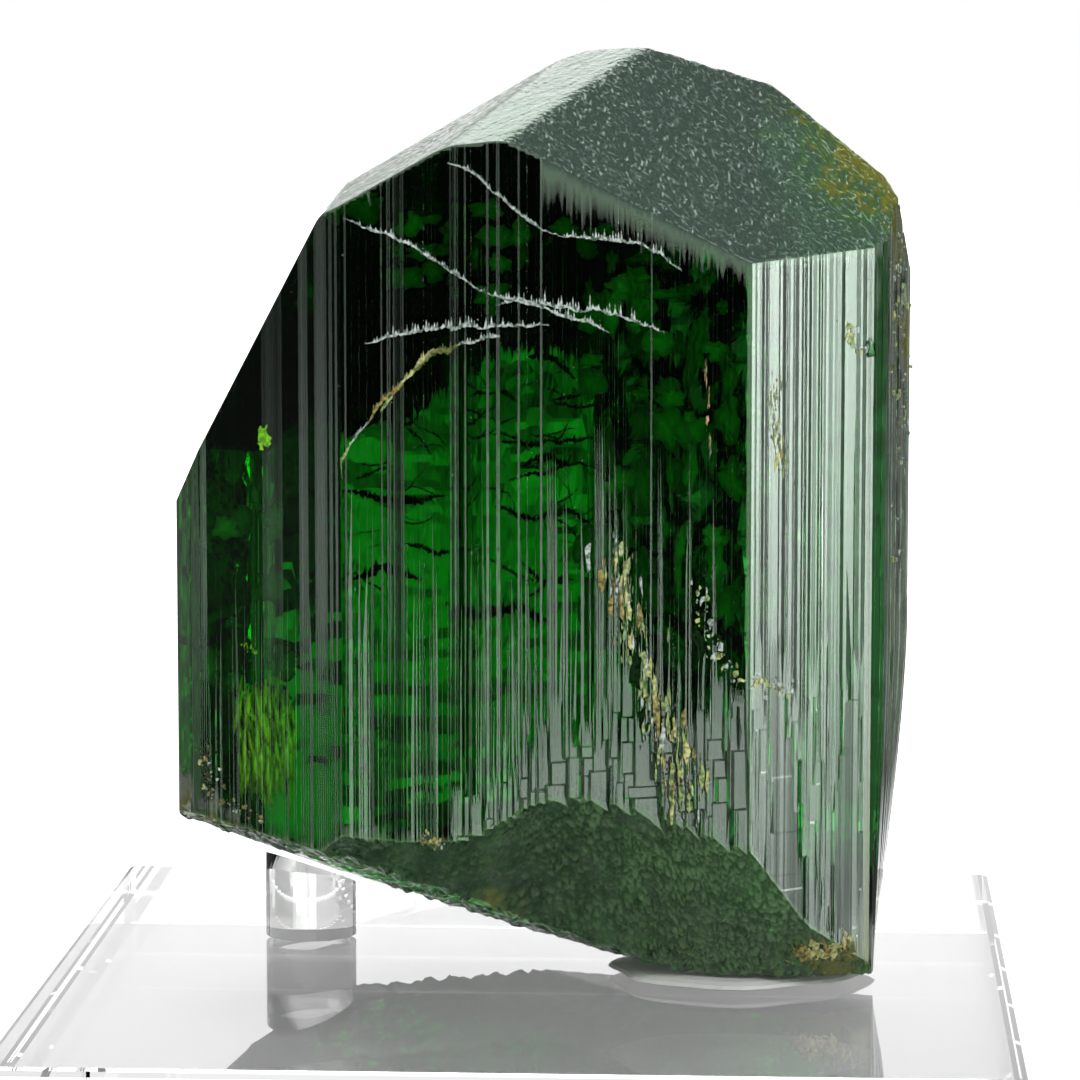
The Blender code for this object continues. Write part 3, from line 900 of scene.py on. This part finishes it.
def make_world():
    """White backdrop for the camera and soft light on plain surfaces; the rest see the surroundings."""
    world = bpy.data.worlds.new("studio")
    bpy.context.scene.world = world
    world.use_nodes = True
    n = Nodes(world.node_tree)

    def times(first, *others):
        for value in others:
            first = n.math("MULTIPLY", first, value)
        return first

    def brightest(first, second):
        return n.math("MAXIMUM", first, second)

    def fade(value, start, end, first, last):
        return n.mapped(value, start, end, first, last, interpolation_type="SMOOTHSTEP")

    def wave(along, steps, across, cross_steps, sway):
        """Sine bands along one direction that sway with another."""
        swayed = times(n.math("SINE", times(across, cross_steps)), sway)
        return n.math("SINE", n.math("ADD", times(along, steps), swayed))

    # Direction in the crystal's frame, and brightness round the compass
    where = n.add("ShaderNodeTexCoord").outputs["Generated"]
    turn = {"Vector": where, "Angle": -CRYSTAL_TURN}
    turned = n.add("ShaderNodeVectorRotate", turn, rotation_type="Z_AXIS")
    split = n.add("ShaderNodeSeparateXYZ", {"Vector": turned.outputs[0]})
    x, y, z = (split.outputs[axis] for axis in "XYZ")
    compass = n.math("ARCTAN2", x, times(y, -1.0))
    share = n.math("ADD", n.math("DIVIDE", compass, 2 * math.pi), 0.5)
    around = n.add("ShaderNodeFloatCurve", {"Value": share})
    curve = around.mapping.curves[0]
    places = [(angle / 360 + 0.5, level / BRIGHTEST) for angle, level in SURROUNDINGS]
    curve.points[0].location, curve.points[-1].location = places[0], places[-1]
    for place in places[1:-1]:
        curve.points.new(*place)
    for point in curve.points:
        point.handle_type = "VECTOR"
    around.mapping.update()

    # It weakens upward, and changes downward in one way on the right and in another elsewhere
    up = fade(z, 0.05, 0.25, 1.0, 0.25)
    aside = fade(x, 0.72, 0.84, 0.0, 1.0)
    low = n.mix(aside, fade(z, -0.17, -0.05, 1.5, 0.45), fade(z, -0.205, -0.065, 0.42, 1.1))
    low_left = times(fade(x, -0.58, -0.45, 0.5, 0.0), fade(z, -0.17, -0.11, 1.0, 0.0))
    low = times(low, n.math("SUBTRACT", 1.0, low_left))
    level_light = times(around.outputs[0], BRIGHTEST, up, low)

    # Light from behind that comes through the crystal: mottled, with a bright corner and a fill from in front
    waves = n.math("ADD", wave(x, 90.0, z, 60.0, 2.0), wave(z, 85.0, x, 70.0, 1.7))
    mottled = times(n.math("ADD", 0.6, times(waves, 0.25)), fade(z, -0.165, -0.11, 0.4, 1.0))
    inner = times(fade(y, 0.8, 0.95, 0.0, 1.0), fade(z, -0.195, -0.185, 0.0, 1.0))
    inner = times(inner, fade(z, -0.03, 0.0, 1.0, 0.0))
    through = times(level_light, n.mix(inner, 1.0, mottled))
    corner = times(fade(compass, 2.45, 2.60, 0.0, 0.85), fade(compass, 2.76, 2.85, 1.0, 0.0))
    corner = times(corner, fade(z, -0.155, -0.135, 1.0, 0.0))
    through = times(brightest(through, corner), fade(z, -0.35, -0.22, 0.25, 1.0))
    fill = times(fade(y, -0.5, -0.15, FRONT_FILL, 0.0), fade(x, -0.02, 0.02, 0.5, 1.0))
    through = brightest(through, fill)

    # Sky behind, higher up and straight overhead
    sky = times(fade(z, -0.02, 0.06, 0.0, SKY_BEHIND), fade(z, 0.80, 0.90, 1.0, 0.0))
    high = times(fade(z, 0.40, 0.60, 0.0, SKY_HIGH), fade(z, 0.84, 0.90, 1.0, 0.0))
    high = times(high, fade(x, 0.15, 0.40, 1.0, 0.15), fade(x, -0.30, -0.12, 0.3, 1.0))
    sky = times(n.math("ADD", sky, high), fade(y, 0.35, 0.55, 0.0, 1.0))
    sky = brightest(sky, fade(z, 0.955, 0.985, 0.0, OVERHEAD_LAMP))
    sky_through = times(sky, fade(z, 0.2, 0.4, SKY_THROUGH, 1.0))

    # Each kind of ray sees its own share
    open_back = times(fade(y, 0.92, 0.98, 0.0, MIRRORED_BEHIND), fade(x, -0.16, -0.11, 0.3, 1.0))
    ray = n.add("ShaderNodeLightPath").outputs
    passing = ray["Is Transmission Ray"]
    lit = n.mix(passing, brightest(level_light, open_back), through)
    seen = brightest(lit, n.mix(passing, sky, sky_through))
    level = n.mix(ray["Is Diffuse Ray"], seen, LEVEL_ON_PLAIN)
    plain = n.mix(ray["Is Camera Ray"], level, LEVEL_OF_BACKDROP)
    background = n.add("ShaderNodeBackground", {"Color": (1, 1, 1, 1), "Strength": plain})
    n.add("ShaderNodeOutputWorld", {"Surface": background.outputs[0]})


def floor_material(name, colour):
    made, n = new_material(name)
    n.finish({"Base Color": colour, "Roughness": 0.9, "Specular IOR Level": 0.1})
    return made


# Floor in metres: front edge of its mirrored part, reach of that part, reach of the rest, height
FLOOR_EDGE, FLOOR_MIRRORED, FLOOR_REACH, FLOOR_HEIGHT = -0.045, 0.055, 1.3, -0.00015


def make_floor():
    """The floor is mirrored only near and behind the block, so that the crystal's front reflects darkness."""
    surface = floor_material("pale_floor", (0.95, 0.95, 0.95, 1))
    # Grey patch under the block: painted shadow of the block on the floor
    shaded = floor_material("shaded_floor", (0.7, 0.7, 0.7, 1))
    corner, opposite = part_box("display_base")
    r, near, far = FLOOR_REACH, FLOOR_EDGE, FLOOR_MIRRORED
    rings = {
        "floor_near": [
            (-far, near, far, corner.y), (-far, opposite.y, far, far),
            (-far, corner.y, corner.x, opposite.y), (opposite.x, corner.y, far, opposite.y),
        ],
        "floor_under_block": [(corner.x, corner.y, opposite.x, opposite.y)],
        "floor_rest": [(-r, -r, r, near), (-r, far, r, r), (-r, near, -far, far), (far, near, r, far)],
    }
    for name, parts in rings.items():
        points, faces = [], []
        for x0, y0, x1, y1 in parts:
            base = len(points)
            points += [(x0, y0, 0), (x1, y0, 0), (x1, y1, 0), (x0, y1, 0)]
            faces.append((base, base + 1, base + 2, base + 3))
        mesh = bpy.data.meshes.new(name)
        mesh.from_pydata(points, [], faces)
        mesh.materials.append(shaded if name == "floor_under_block" else surface)
        sheet = bpy.data.objects.new(name, mesh)
        bpy.context.scene.collection.objects.link(sheet)
        sheet.location.z = FLOOR_HEIGHT
        sheet.visible_glossy = sheet.visible_transmission = name != "floor_rest"


def make_area_light(name, place, tilt, size, power):
    """Lights plain surfaces only; reflections and refractions see the world. Metres, degrees and watts."""
    light = bpy.data.lights.new(name, "AREA")
    light.size, light.energy = size, power
    lamp = bpy.data.objects.new(name, light)
    bpy.context.scene.collection.objects.link(lamp)
    lamp.location = place
    lamp.rotation_euler = (math.radians(tilt), 0, 0)
    lamp.visible_camera = lamp.visible_glossy = lamp.visible_transmission = False


WALLS = {
    "front": ((FRONT_LEFT, FRONT_Y), (FRONT_RIGHT, FRONT_Y)),
    "right": ((FRONT_RIGHT, FRONT_Y), RIGHT_END),
    "left_front": (LEFT_END, (FRONT_LEFT, FRONT_Y)),
    "right_strip": (STRIP_START, STRIP_END),
}


def on_wall(wall, x, z, depth):
    """Point over a prism face or the etched face under it, given by x and z; depth goes into the crystal."""
    (x0, y0), (x1, y1) = WALLS[wall]
    way = Vector((x1 - x0, y1 - y0)).normalized()
    etched_y = FRONT_Y + (float(np.interp(x, ETCHED_EDGE_X, ETCHED_EDGE_Z)) - z) / ETCHED_STEEPNESS
    y = max(y0 + (x - x0) / (x1 - x0) * (y1 - y0), etched_y)
    return (x - way.y * depth, y + way.x * depth, z)


# Healed cracks that reach the front face: x and z of points along each, the length of the hairs that
# grow up from it, and its kind
# White cracks are partly whitish fracture and partly painted glint
CRACKS = [
    ([(-6.0, 56.1), (-4.5, 55.5), (-3.6, 54.7), (-1.9, 53.2), (0.0, 51.8), (1.3, 51.3)], 0.3, "white_and_painted_glint"),
    ([(1.3, 51.3), (3.9, 51.1), (6.2, 50.9), (7.8, 50.2), (9.2, 49.0)], 0.8, "white_and_painted_glint"),
    ([(-12.8, 52.4), (-10.4, 51.6), (-7.8, 50.3), (-5.8, 49.0), (-3.9, 47.7)], 0.4, "white_and_painted_glint"),
    ([(-3.9, 47.7), (-1.3, 47.0), (1.3, 46.6), (3.9, 46.4), (6.5, 45.7), (8.1, 45.0)], 0.9, "white_and_painted_glint"),
    ([(-11.4, 44.2), (-9.1, 44.9), (-6.5, 45.3), (-3.9, 45.4), (-1.3, 45.5), (0.6, 45.5)], 0.7, "white_and_painted_glint"),
    ([(-2.6, 44.7), (-4.2, 44.5), (-5.4, 44.1)], 0.4, "white_and_painted_glint"),
    ([(-5.2, 44.2), (-7.2, 43.4), (-8.3, 42.4)], 0.4, "olive"),
    ([(-6.4, 43.9), (-7.6, 43.2), (-8.8, 42.0), (-9.3, 41.3)], 0.5, "gold"),
    ([(-8.9, 41.7), (-9.9, 40.8), (-10.7, 40.0), (-11.3, 39.1)], 0.5, "stained"),
    ([(-9.6, 40.7), (-10.4, 39.9)], 0.5, "lime_grey"),
    ([(-11.2, 39.3), (-12.4, 37.7)], 0.3, "white_and_painted_glint"),
    ([(-12.3, 37.8), (-13.0, 36.4), (-12.9, 35.4)], 0.5, "lime_grey"),
    ([(-2.9, 46.8), (-1.3, 47.2), (1.3, 46.1), (3.2, 45.7), (4.5, 45.0)], 0.6, "white_and_painted_glint"),
]
CRACK_HALF_WIDTH = {"white_and_painted_glint": 0.075, "stained": 0.16, "gold": 0.13, "olive": 0.18, "lime_grey": 0.12}
CRACK_STEP, CRACK_PROUD, CRACK_DEPTH, CRACK_WANDER = 0.09, 0.03, 0.15, 0.22


def add_ribbon(body, points, place, wide, hair, draw):
    """A thin closed sliver along a line, with hairs that grow up from it; place gives a station's point."""
    stations = []
    for (x0, z0), (x1, z1) in zip(points[:-1], points[1:]):
        count = max(1, int(math.dist((x0, z0), (x1, z1)) / CRACK_STEP))
        stations += [(x0 + (x1 - x0) * k / count, z0 + (z1 - z0) * k / count) for k in range(count)]
    stations.append(points[-1])
    rings = []
    for index, (x, z) in enumerate(stations):
        fade = min(1.0, 0.2 + 4.0 * min(index, len(stations) - 1 - index) / len(stations))
        z += CRACK_WANDER * noise.noise((x * 1.1, z, 3.0)) + draw.uniform(-0.05, 0.05)
        half = fade * wide * (draw.uniform(0.2, 1.3) + 0.8 * abs(noise.noise((x * 2.0, z * 2.0, 5.0))))
        tooth = fade * hair * draw.random() ** 1.5 if index % 2 else 0.0
        low, high = z - half, z + half + tooth
        ring = [place(x, low, 0), place(x, high, 0), place(x, high, 1), place(x, low, 1)]
        rings.append(body.add(ring, [1.0] * 4))
    for left, right in zip(rings[:-1], rings[1:]):
        for k in range(4):
            m = (k + 1) % 4
            body.faces.append([left[k], left[m], right[m], right[k]][::-1])
    body.faces.append(rings[0])
    body.faces.append(rings[-1][::-1])


def crack_bodies():
    draw = random.Random(5)
    bodies = {}

    def place(x, z, side):
        return on_wall("front", x, z, CRACK_DEPTH if side else -CRACK_PROUD)

    for points, hair, kind in CRACKS:
        add_ribbon(bodies.setdefault(kind, Body()), points, place, CRACK_HALF_WIDTH[kind], hair, draw)
    return bodies


# Dark sheets inside, drawn as cracks, that darken the crystal: painted shade. x and z of points along each as
# they appear on the front face, and half their height
PAINTED_SHADE_VEILS = [
    ([(-12.2, 39.9), (-9.3, 39.6), (-7.3, 41.2), (-5.3, 43.2), (-2.6, 44.4), (0.4, 44.7), (3.0, 43.9),
      (4.2, 41.5)], 1.0),
    ([(-10.5, 41.6), (-7.2, 43.2), (-4.6, 44.8), (0.0, 45.6), (4.5, 44.5), (5.4, 40.0)], 1.0),
    ([(3.6, 44.0), (4.6, 41.0), (4.9, 37.0), (5.4, 33.0)], 0.8),
    ([(-4.6, 40.9), (-2.8, 41.3), (-1.1, 40.5)], 0.14),
    ([(-0.9, 43.6), (1.0, 43.3), (2.3, 42.0)], 0.22),
    ([(-2.8, 38.0), (-0.6, 37.6), (1.8, 37.9), (3.6, 38.1)], 0.16),
    ([(-1.2, 36.4), (0.6, 36.9), (2.4, 36.2)], 0.2),
    ([(-12.8, 34.8), (-10.4, 34.1), (-8.4, 33.9), (-6.2, 34.3)], 0.24),
    ([(-9.0, 31.3), (-6.6, 30.6), (-4.4, 30.9)], 0.18),
    ([(-3.0, 33.6), (-0.5, 32.8), (1.6, 33.4), (3.3, 32.5)], 0.22),
    ([(-12.4, 28.9), (-10.2, 29.6), (-7.7, 28.8)], 0.3),
    ([(-1.3, 30.0), (0.2, 28.6), (2.2, 28.9)], 0.2),
    ([(-6.2, 27.2), (-4.1, 26.4), (-1.5, 26.9), (0.6, 26.0)], 0.35),
]
WISPS = 70
VEIL_MIDDLE, VEIL_THICKNESS, VEIL_WAVE = 5.0, 0.06, 2.0


def wisp_lines(draw):
    """Random short dark cracks of painted shade, mostly level, that bend as they go."""
    lines = []
    for _ in range(WISPS):
        x, z = draw.uniform(-13.0, 6.5), draw.triangular(24.0, 46.0, 35.0)
        heading, bend = draw.uniform(-0.5, 0.5), draw.uniform(-0.35, 0.35)
        line = [(x, z)]
        for _ in range(draw.randint(3, 9)):
            step = draw.uniform(0.35, 0.8)
            x, z = x + step * math.cos(heading), z + step * math.sin(heading)
            heading += bend + draw.uniform(-0.35, 0.35)
            line.append((x, z))
        lines.append((line, draw.choice((0.03, 0.05, 0.07, 0.12)), draw.uniform(-4.0, 11.0)))
    return lines


def painted_shade_veil_body():
    """Near-black sheets of painted shade, drawn as cracks wavy in depth, placed so that they appear at their
    x and z on the front face.
    """
    draw = random.Random(15)
    body = Body()
    for points, half, middle in [(*veil, VEIL_MIDDLE) for veil in PAINTED_SHADE_VEILS] + wisp_lines(draw):

        def place(x, z, side):
            shift = (middle - FRONT_Y) / (FRONT_Y - CAMERA_PLACE.y / MM) / TOURMALINE_IOR
            deep = middle + VEIL_WAVE * noise.noise((x * 0.25, z * 0.25, 8.0)) + side * VEIL_THICKNESS
            return (x * (1 + shift), deep, z - (CAMERA_PLACE.z / MM - z) * shift)

        add_ribbon(body, points, place, half, 1.2 * half, draw)
    return body


# Single flecks of foreign mineral, and small hollows drawn as near-black plates of painted shade: kind, wall,
# x, z, width, height
FLECKS = [
    ("lime", "left_front", -18.1, 37.9, 1.1, 1.7),
    ("gold", "right", 15.5, 36.6, 0.5, 2.2),
    ("gold", "front", 4.95, 30.0, 0.45, 2.0),
    ("gold", "front", 7.2, 22.7, 0.6, 2.6),
    ("painted_shade_hollow", "front", 6.3, 22.4, 1.0, 3.6),
    ("painted_shade_hollow", "front", 6.7, 19.6, 0.8, 2.8),
    ("painted_shade_hollow", "front", 10.4, 24.6, 1.2, 3.4),
    ("painted_shade_hollow", "front", 13.1, 18.9, 0.35, 4.2),
]

# Shapes of splinters: least and most width as a share of the height
SLENDER, BROAD = (0.07, 0.24), (0.4, 1.0)

# Clusters of splinters: wall, path through its middle, width, how many, range of heights, shape, kinds
CLUSTERS = [
    ("front", [(4.8, 30.7), (5.6, 28.0), (6.3, 24.7), (7.3, 21.4), (9.3, 17.4), (10.2, 14.7)], 2.8, 200,
     (0.3, 2.8), SLENDER, ("gold", "lime_grey", "lime_grey", "lime_grey", "white_and_painted_glint", "stained")),
    ("front", [(5.0, 29.2), (5.3, 27.6)], 0.9, 22, (0.4, 1.5), SLENDER, ("rose", "gold", "white_and_painted_glint")),
    ("front", [(10.6, 28.7), (10.9, 25.3), (12.9, 22.0)], 1.5, 56, (0.2, 1.0), BROAD,
     ("gold", "white_and_painted_glint", "painted_shade_hollow", "lime_grey")),
    ("front", [(7.6, 20.0), (8.6, 16.5), (10.2, 12.9)], 2.2, 80, (0.3, 2.4), SLENDER,
     ("gold", "lime_grey", "lime_grey", "white_and_painted_glint", "stained")),
    ("right", [(15.2, 42.4), (15.4, 38.8), (16.2, 35.3)], 1.0, 110, (0.2, 1.2), SLENDER,
     ("white_and_painted_glint", "lime_grey", "gold")),
    ("right", [(14.1, 22.2), (15.2, 21.6), (16.9, 21.4)], 1.4, 60, (0.15, 0.7), BROAD,
     ("white_and_painted_glint", "gold", "lime_grey")),
    ("right", [(17.0, 2.9), (19.0, 3.2), (21.0, 3.6)], 1.6, 60, (0.4, 1.8), BROAD,
     ("stained", "stained", "olive", "olive", "gold", "painted_shade_hollow")),
    ("right", [(20.4, 45.2), (20.9, 43.4)], 1.2, 26, (0.25, 0.9), BROAD, ("white_and_painted_glint", "gold", "lime_grey")),
    ("left_front", [(-22.4, 17.0), (-21.8, 13.6), (-18.5, 12.4)], 1.4, 80, (0.12, 0.6), BROAD,
     ("gold", "stained", "olive", "white_and_painted_glint", "painted_shade_hollow")),
    ("left_front", [(-18.3, 38.6), (-18.1, 37.2)], 0.7, 12, (0.3, 0.9), BROAD, ("lime",)),
    ("left_front", [(-19.8, 24.2), (-18.8, 23.5)], 0.6, 12, (0.2, 0.5), SLENDER, ("lime",)),
    ("front", [(-7.9, 11.6), (-6.6, 11.2)], 0.9, 30, (0.2, 0.7), BROAD, ("gold", "white_and_painted_glint", "stained")),
    ("front", [(10.7, 43.3), (11.0, 40.6), (11.1, 37.0)], 0.25, 26, (0.5, 1.6), SLENDER,
     ("stained", "olive", "rose")),
    ("right_strip", [(24.1, 27.0), (24.2, 38.0), (24.1, 51.0)], 2.0, 90, (0.15, 0.9), SLENDER,
     ("lime_grey", "gold", "white_and_painted_glint", "olive")),
    ("front", [(-12.0, 50.0), (0.0, 40.0), (12.0, 24.0)], 24.0, 60, (0.06, 0.2), BROAD, ("white_and_painted_glint", "gold")),
]


def along_path(path, share):
    """Point at this share of a path's length."""
    lengths = [math.dist(a, b) for a, b in zip(path[:-1], path[1:])]
    left = share * sum(lengths)
    for (a, b), length in zip(zip(path[:-1], path[1:]), lengths):
        if left <= length:
            return tuple(a[k] + (b[k] - a[k]) * left / length for k in range(2))
        left -= length
    return path[-1]


# A splinter's edge and its inner tip lie this deep; its outer tip stands this many times as proud as its edge
SPLINTER_EDGE_DEPTH, SPLINTER_TIP_DEPTH, SPLINTER_TIP_PROUD = 0.12, 0.2, 1.8


def add_splinter(body, wall, cx, cz, width, height, draw, corners=9):
    """An irregular closed plate set into a wall."""
    proud = draw.uniform(0.02, 0.06)
    front, back = [], []
    for c in range(corners):
        angle = 2 * math.pi * c / corners
        reach = draw.uniform(0.2, 1.0) / 2
        px, pz = cx + math.cos(angle) * reach * width, cz + math.sin(angle) * reach * height
        front.append(on_wall(wall, px, pz, -proud * draw.uniform(0.5, 1.5)))
        back.append(on_wall(wall, px, pz, SPLINTER_EDGE_DEPTH))
    top = body.add([on_wall(wall, cx, cz, -proud * SPLINTER_TIP_PROUD)], [1.0])[0]
    end = body.add([on_wall(wall, cx, cz, SPLINTER_TIP_DEPTH)], [1.0])[0]
    f, b = body.add(front, [1.0] * corners), body.add(back, [1.0] * corners)
    for c in range(corners):
        m = (c + 1) % corners
        body.faces += [[top, f[c], f[m]], [end, b[m], b[c]], [f[c], b[c], b[m], f[m]]]


def fleck_bodies():
    draw = random.Random(6)
    bodies = {}
    for kind, wall, x, z, width, height in FLECKS:
        add_splinter(bodies.setdefault(kind, Body()), wall, x, z, width, height, draw)
    for wall, path, wide, count, heights, shape, kinds in CLUSTERS:
        for _ in range(count):
            x, z = along_path(path, draw.random())
            x, z = x + draw.gauss(0, 0.25) * wide, z + draw.gauss(0, 0.2) * wide
            height = heights[0] + (heights[1] - heights[0]) * draw.random() ** 2
            body = bodies.setdefault(draw.choice(kinds), Body())
            add_splinter(body, wall, x, z, height * draw.uniform(*shape), height, draw, corners=7)
    return bodies


# Zones of soft clouds inside, whose painted glow stands for light caught in them: kind, painted glow, ranges
# of x, y, z, half width and half height, how many
PAINTED_GLOW_CLOUD_ZONES = [
    ("green", 0.7, (-12.0, 11.0), (-8.0, 0.0), (46.0, 53.0), (0.3, 1.4), (0.3, 1.0), 34),
    ("green", 1.0, (3.0, 13.0), (-8.0, 2.0), (24.0, 48.0), (0.2, 1.1), (0.4, 2.0), 60),
    ("green", 0.7, (-22.0, -15.0), (-6.0, 2.0), (18.0, 34.0), (0.3, 1.2), (0.4, 1.5), 16),
    ("lime", 1.0, (-19.8, -15.8), (-9.0, -7.0), (15.0, 20.0), (0.08, 0.24), (0.6, 2.2), 170),
]
CLOUD_CORNERS, CLOUD_DEPTH = 20, 0.8

# Rings of a cloud: share of its half size and share of its painted glow
CLOUD_RINGS = ((0.3, 0.9), (0.6, 0.7), (1.0, 0.4))


def painted_glow_cloud_bodies():
    """Ragged sheets inside the crystal with a painted glow: bright in the colour of caught light in the
    middle, fading to dark at the rim.
    """
    draw = random.Random(41)
    bodies = {}
    for kind, painted_glow, xs, ys, zs, widths, heights, count in PAINTED_GLOW_CLOUD_ZONES:
        body = bodies.setdefault(kind, Body())
        for _ in range(count):
            middle = Vector((draw.uniform(*xs), draw.uniform(*ys), draw.uniform(*zs)))
            wide, tall = draw.uniform(*widths), draw.uniform(*heights)
            yaw, pitch = draw.uniform(-0.5, 0.5), draw.uniform(-0.6, 0.2)
            turn = Matrix.Rotation(yaw, 3, "Z") @ Matrix.Rotation(pitch, 3, "X")
            seed = draw.uniform(0, 50)
            rings = []
            for reach, share in CLOUD_RINGS:
                points = []
                for c in range(CLOUD_CORNERS):
                    angle = 2 * math.pi * c / CLOUD_CORNERS
                    spot = Vector((math.cos(angle), math.sin(angle), seed))
                    ragged = 0.6 * noise.noise(1.6 * spot) + 0.2 * noise.noise(4.5 * spot)
                    far = reach * max(0.2, 1.0 + ragged + 0.12 * draw.uniform(-1, 1))
                    deep = 0.3 * noise.noise(spot * 2.0 * reach)
                    away = Vector((far * wide * spot.x, deep, far * tall * spot.y))
                    points.append(tuple(middle + turn @ away))
                rings.append(body.add(points, [share * painted_glow] * CLOUD_CORNERS))
            front = body.add([tuple(middle)], [painted_glow])[0]
            back = body.add([tuple(middle + turn @ Vector((0, CLOUD_DEPTH, 0)))], [0.0])[0]
            for c in range(CLOUD_CORNERS):
                m = (c + 1) % CLOUD_CORNERS
                body.faces += [[front, rings[0][c], rings[0][m]], [back, rings[2][m], rings[2][c]]]
                for inner, outer in zip(rings[:-1], rings[1:]):
                    body.faces.append([inner[c], outer[c], outer[m], inner[m]])
    return bodies


def painted_glow_cloud_material(name, colour):
    made, n = new_material(name)
    # The frost attribute here holds the painted glow: near black at the rim up to the cloud's colour in the
    # middle
    tint = n.mix_colours(n.attribute("frost"), (0.0, 0.004, 0.0, 1), colour)
    n.finish({"Base Color": tint, "Roughness": 0.8, "Specular IOR Level": 0.0})
    return made


def mineral_material(name, colour, dark, roughness):
    """Opaque colour, broken up by noise between a light and a dark colour: for mineral flecks, and near black
    as painted shade for the hollows and veils.
    """
    made, n = new_material(name)
    spread = n.mapped(n.lumps(4000.0, 3.0), 0.38, 0.62, 0.0, 1.0)
    n.finish({"Base Color": n.mix_colours(spread, dark, colour), "Roughness": roughness, "IOR": 1.5})
    return made


def make_flaws():
    """Cracks and flecks, each kind one piece."""
    looks = {
        # White cracks and flecks: whitish fracture colour with painted glints of light off the fracture
        # planes
        "white_and_painted_glint": ((0.42, 0.48, 0.44, 1), (0.03, 0.06, 0.04, 1), 0.3),
        "gold": ((0.46, 0.46, 0.18, 1), (0.12, 0.15, 0.04, 1), 0.3),
        "lime": ((0.16, 0.45, 0.0, 1), (0.04, 0.18, 0.0, 1), 0.35),
        "rose": ((0.40, 0.27, 0.12, 1), (0.08, 0.08, 0.02, 1), 0.4),
        # Near black for the hollows and the inner veils: painted shade
        "painted_shade_hollow": ((0.004, 0.02, 0.004, 1), (0.0, 0.005, 0.0, 1), 0.2),
        "stained": ((0.30, 0.24, 0.06, 1), (0.04, 0.04, 0.01, 1), 0.35),
        "lime_grey": ((0.30, 0.38, 0.14, 1), (0.05, 0.10, 0.03, 1), 0.3),
        "olive": ((0.12, 0.14, 0.03, 1), (0.02, 0.04, 0.01, 1), 0.3),
    }
    bodies = fleck_bodies()
    made = {kind + "_flecks": (body, kind) for kind, body in bodies.items()}
    made |= {kind + "_cracks": (body, kind) for kind, body in crack_bodies().items()}
    # The veils take the near-black hollow colour: painted shade
    made["inner_veils"] = (painted_shade_veil_body(), "painted_shade_hollow")
    materials = {kind: mineral_material(kind + "_mineral", *look) for kind, look in looks.items()}
    # Colours of the clouds' painted glow
    for kind, colour in (("green", (0.04, 0.34, 0.03, 1)), ("lime", (0.40, 0.95, 0.02, 1))):
        materials[kind + "_painted_glow_cloud"] = painted_glow_cloud_material(kind + "_painted_glow_cloud", colour)
    made |= {kind + "_painted_glow_clouds": (body, kind + "_painted_glow_cloud") for kind, body in painted_glow_cloud_bodies().items()}
    for name, (body, kind) in made.items():
        piece = body.object(name)
        piece.data.materials.append(materials[kind])
        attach(piece, "root")


def make_crystal():
    crystal = crystal_body().object("tourmaline_crystal_look")
    crystal.data.materials.append(tourmaline_material())
    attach(crystal, "root")
    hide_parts("tourmaline_crystal")


make_camera()
make_world()
make_floor()
make_area_light("back_light", place=(0.0, 1.5, 1.1), tilt=-52, size=1.6, power=60.0)
make_area_light("front_light", place=(0.35, -0.9, 0.8), tilt=48, size=0.6, power=10.0)
make_crystal()
make_flaws()
dress_stand()

bpy.context.scene.view_settings.view_transform = "Standard"
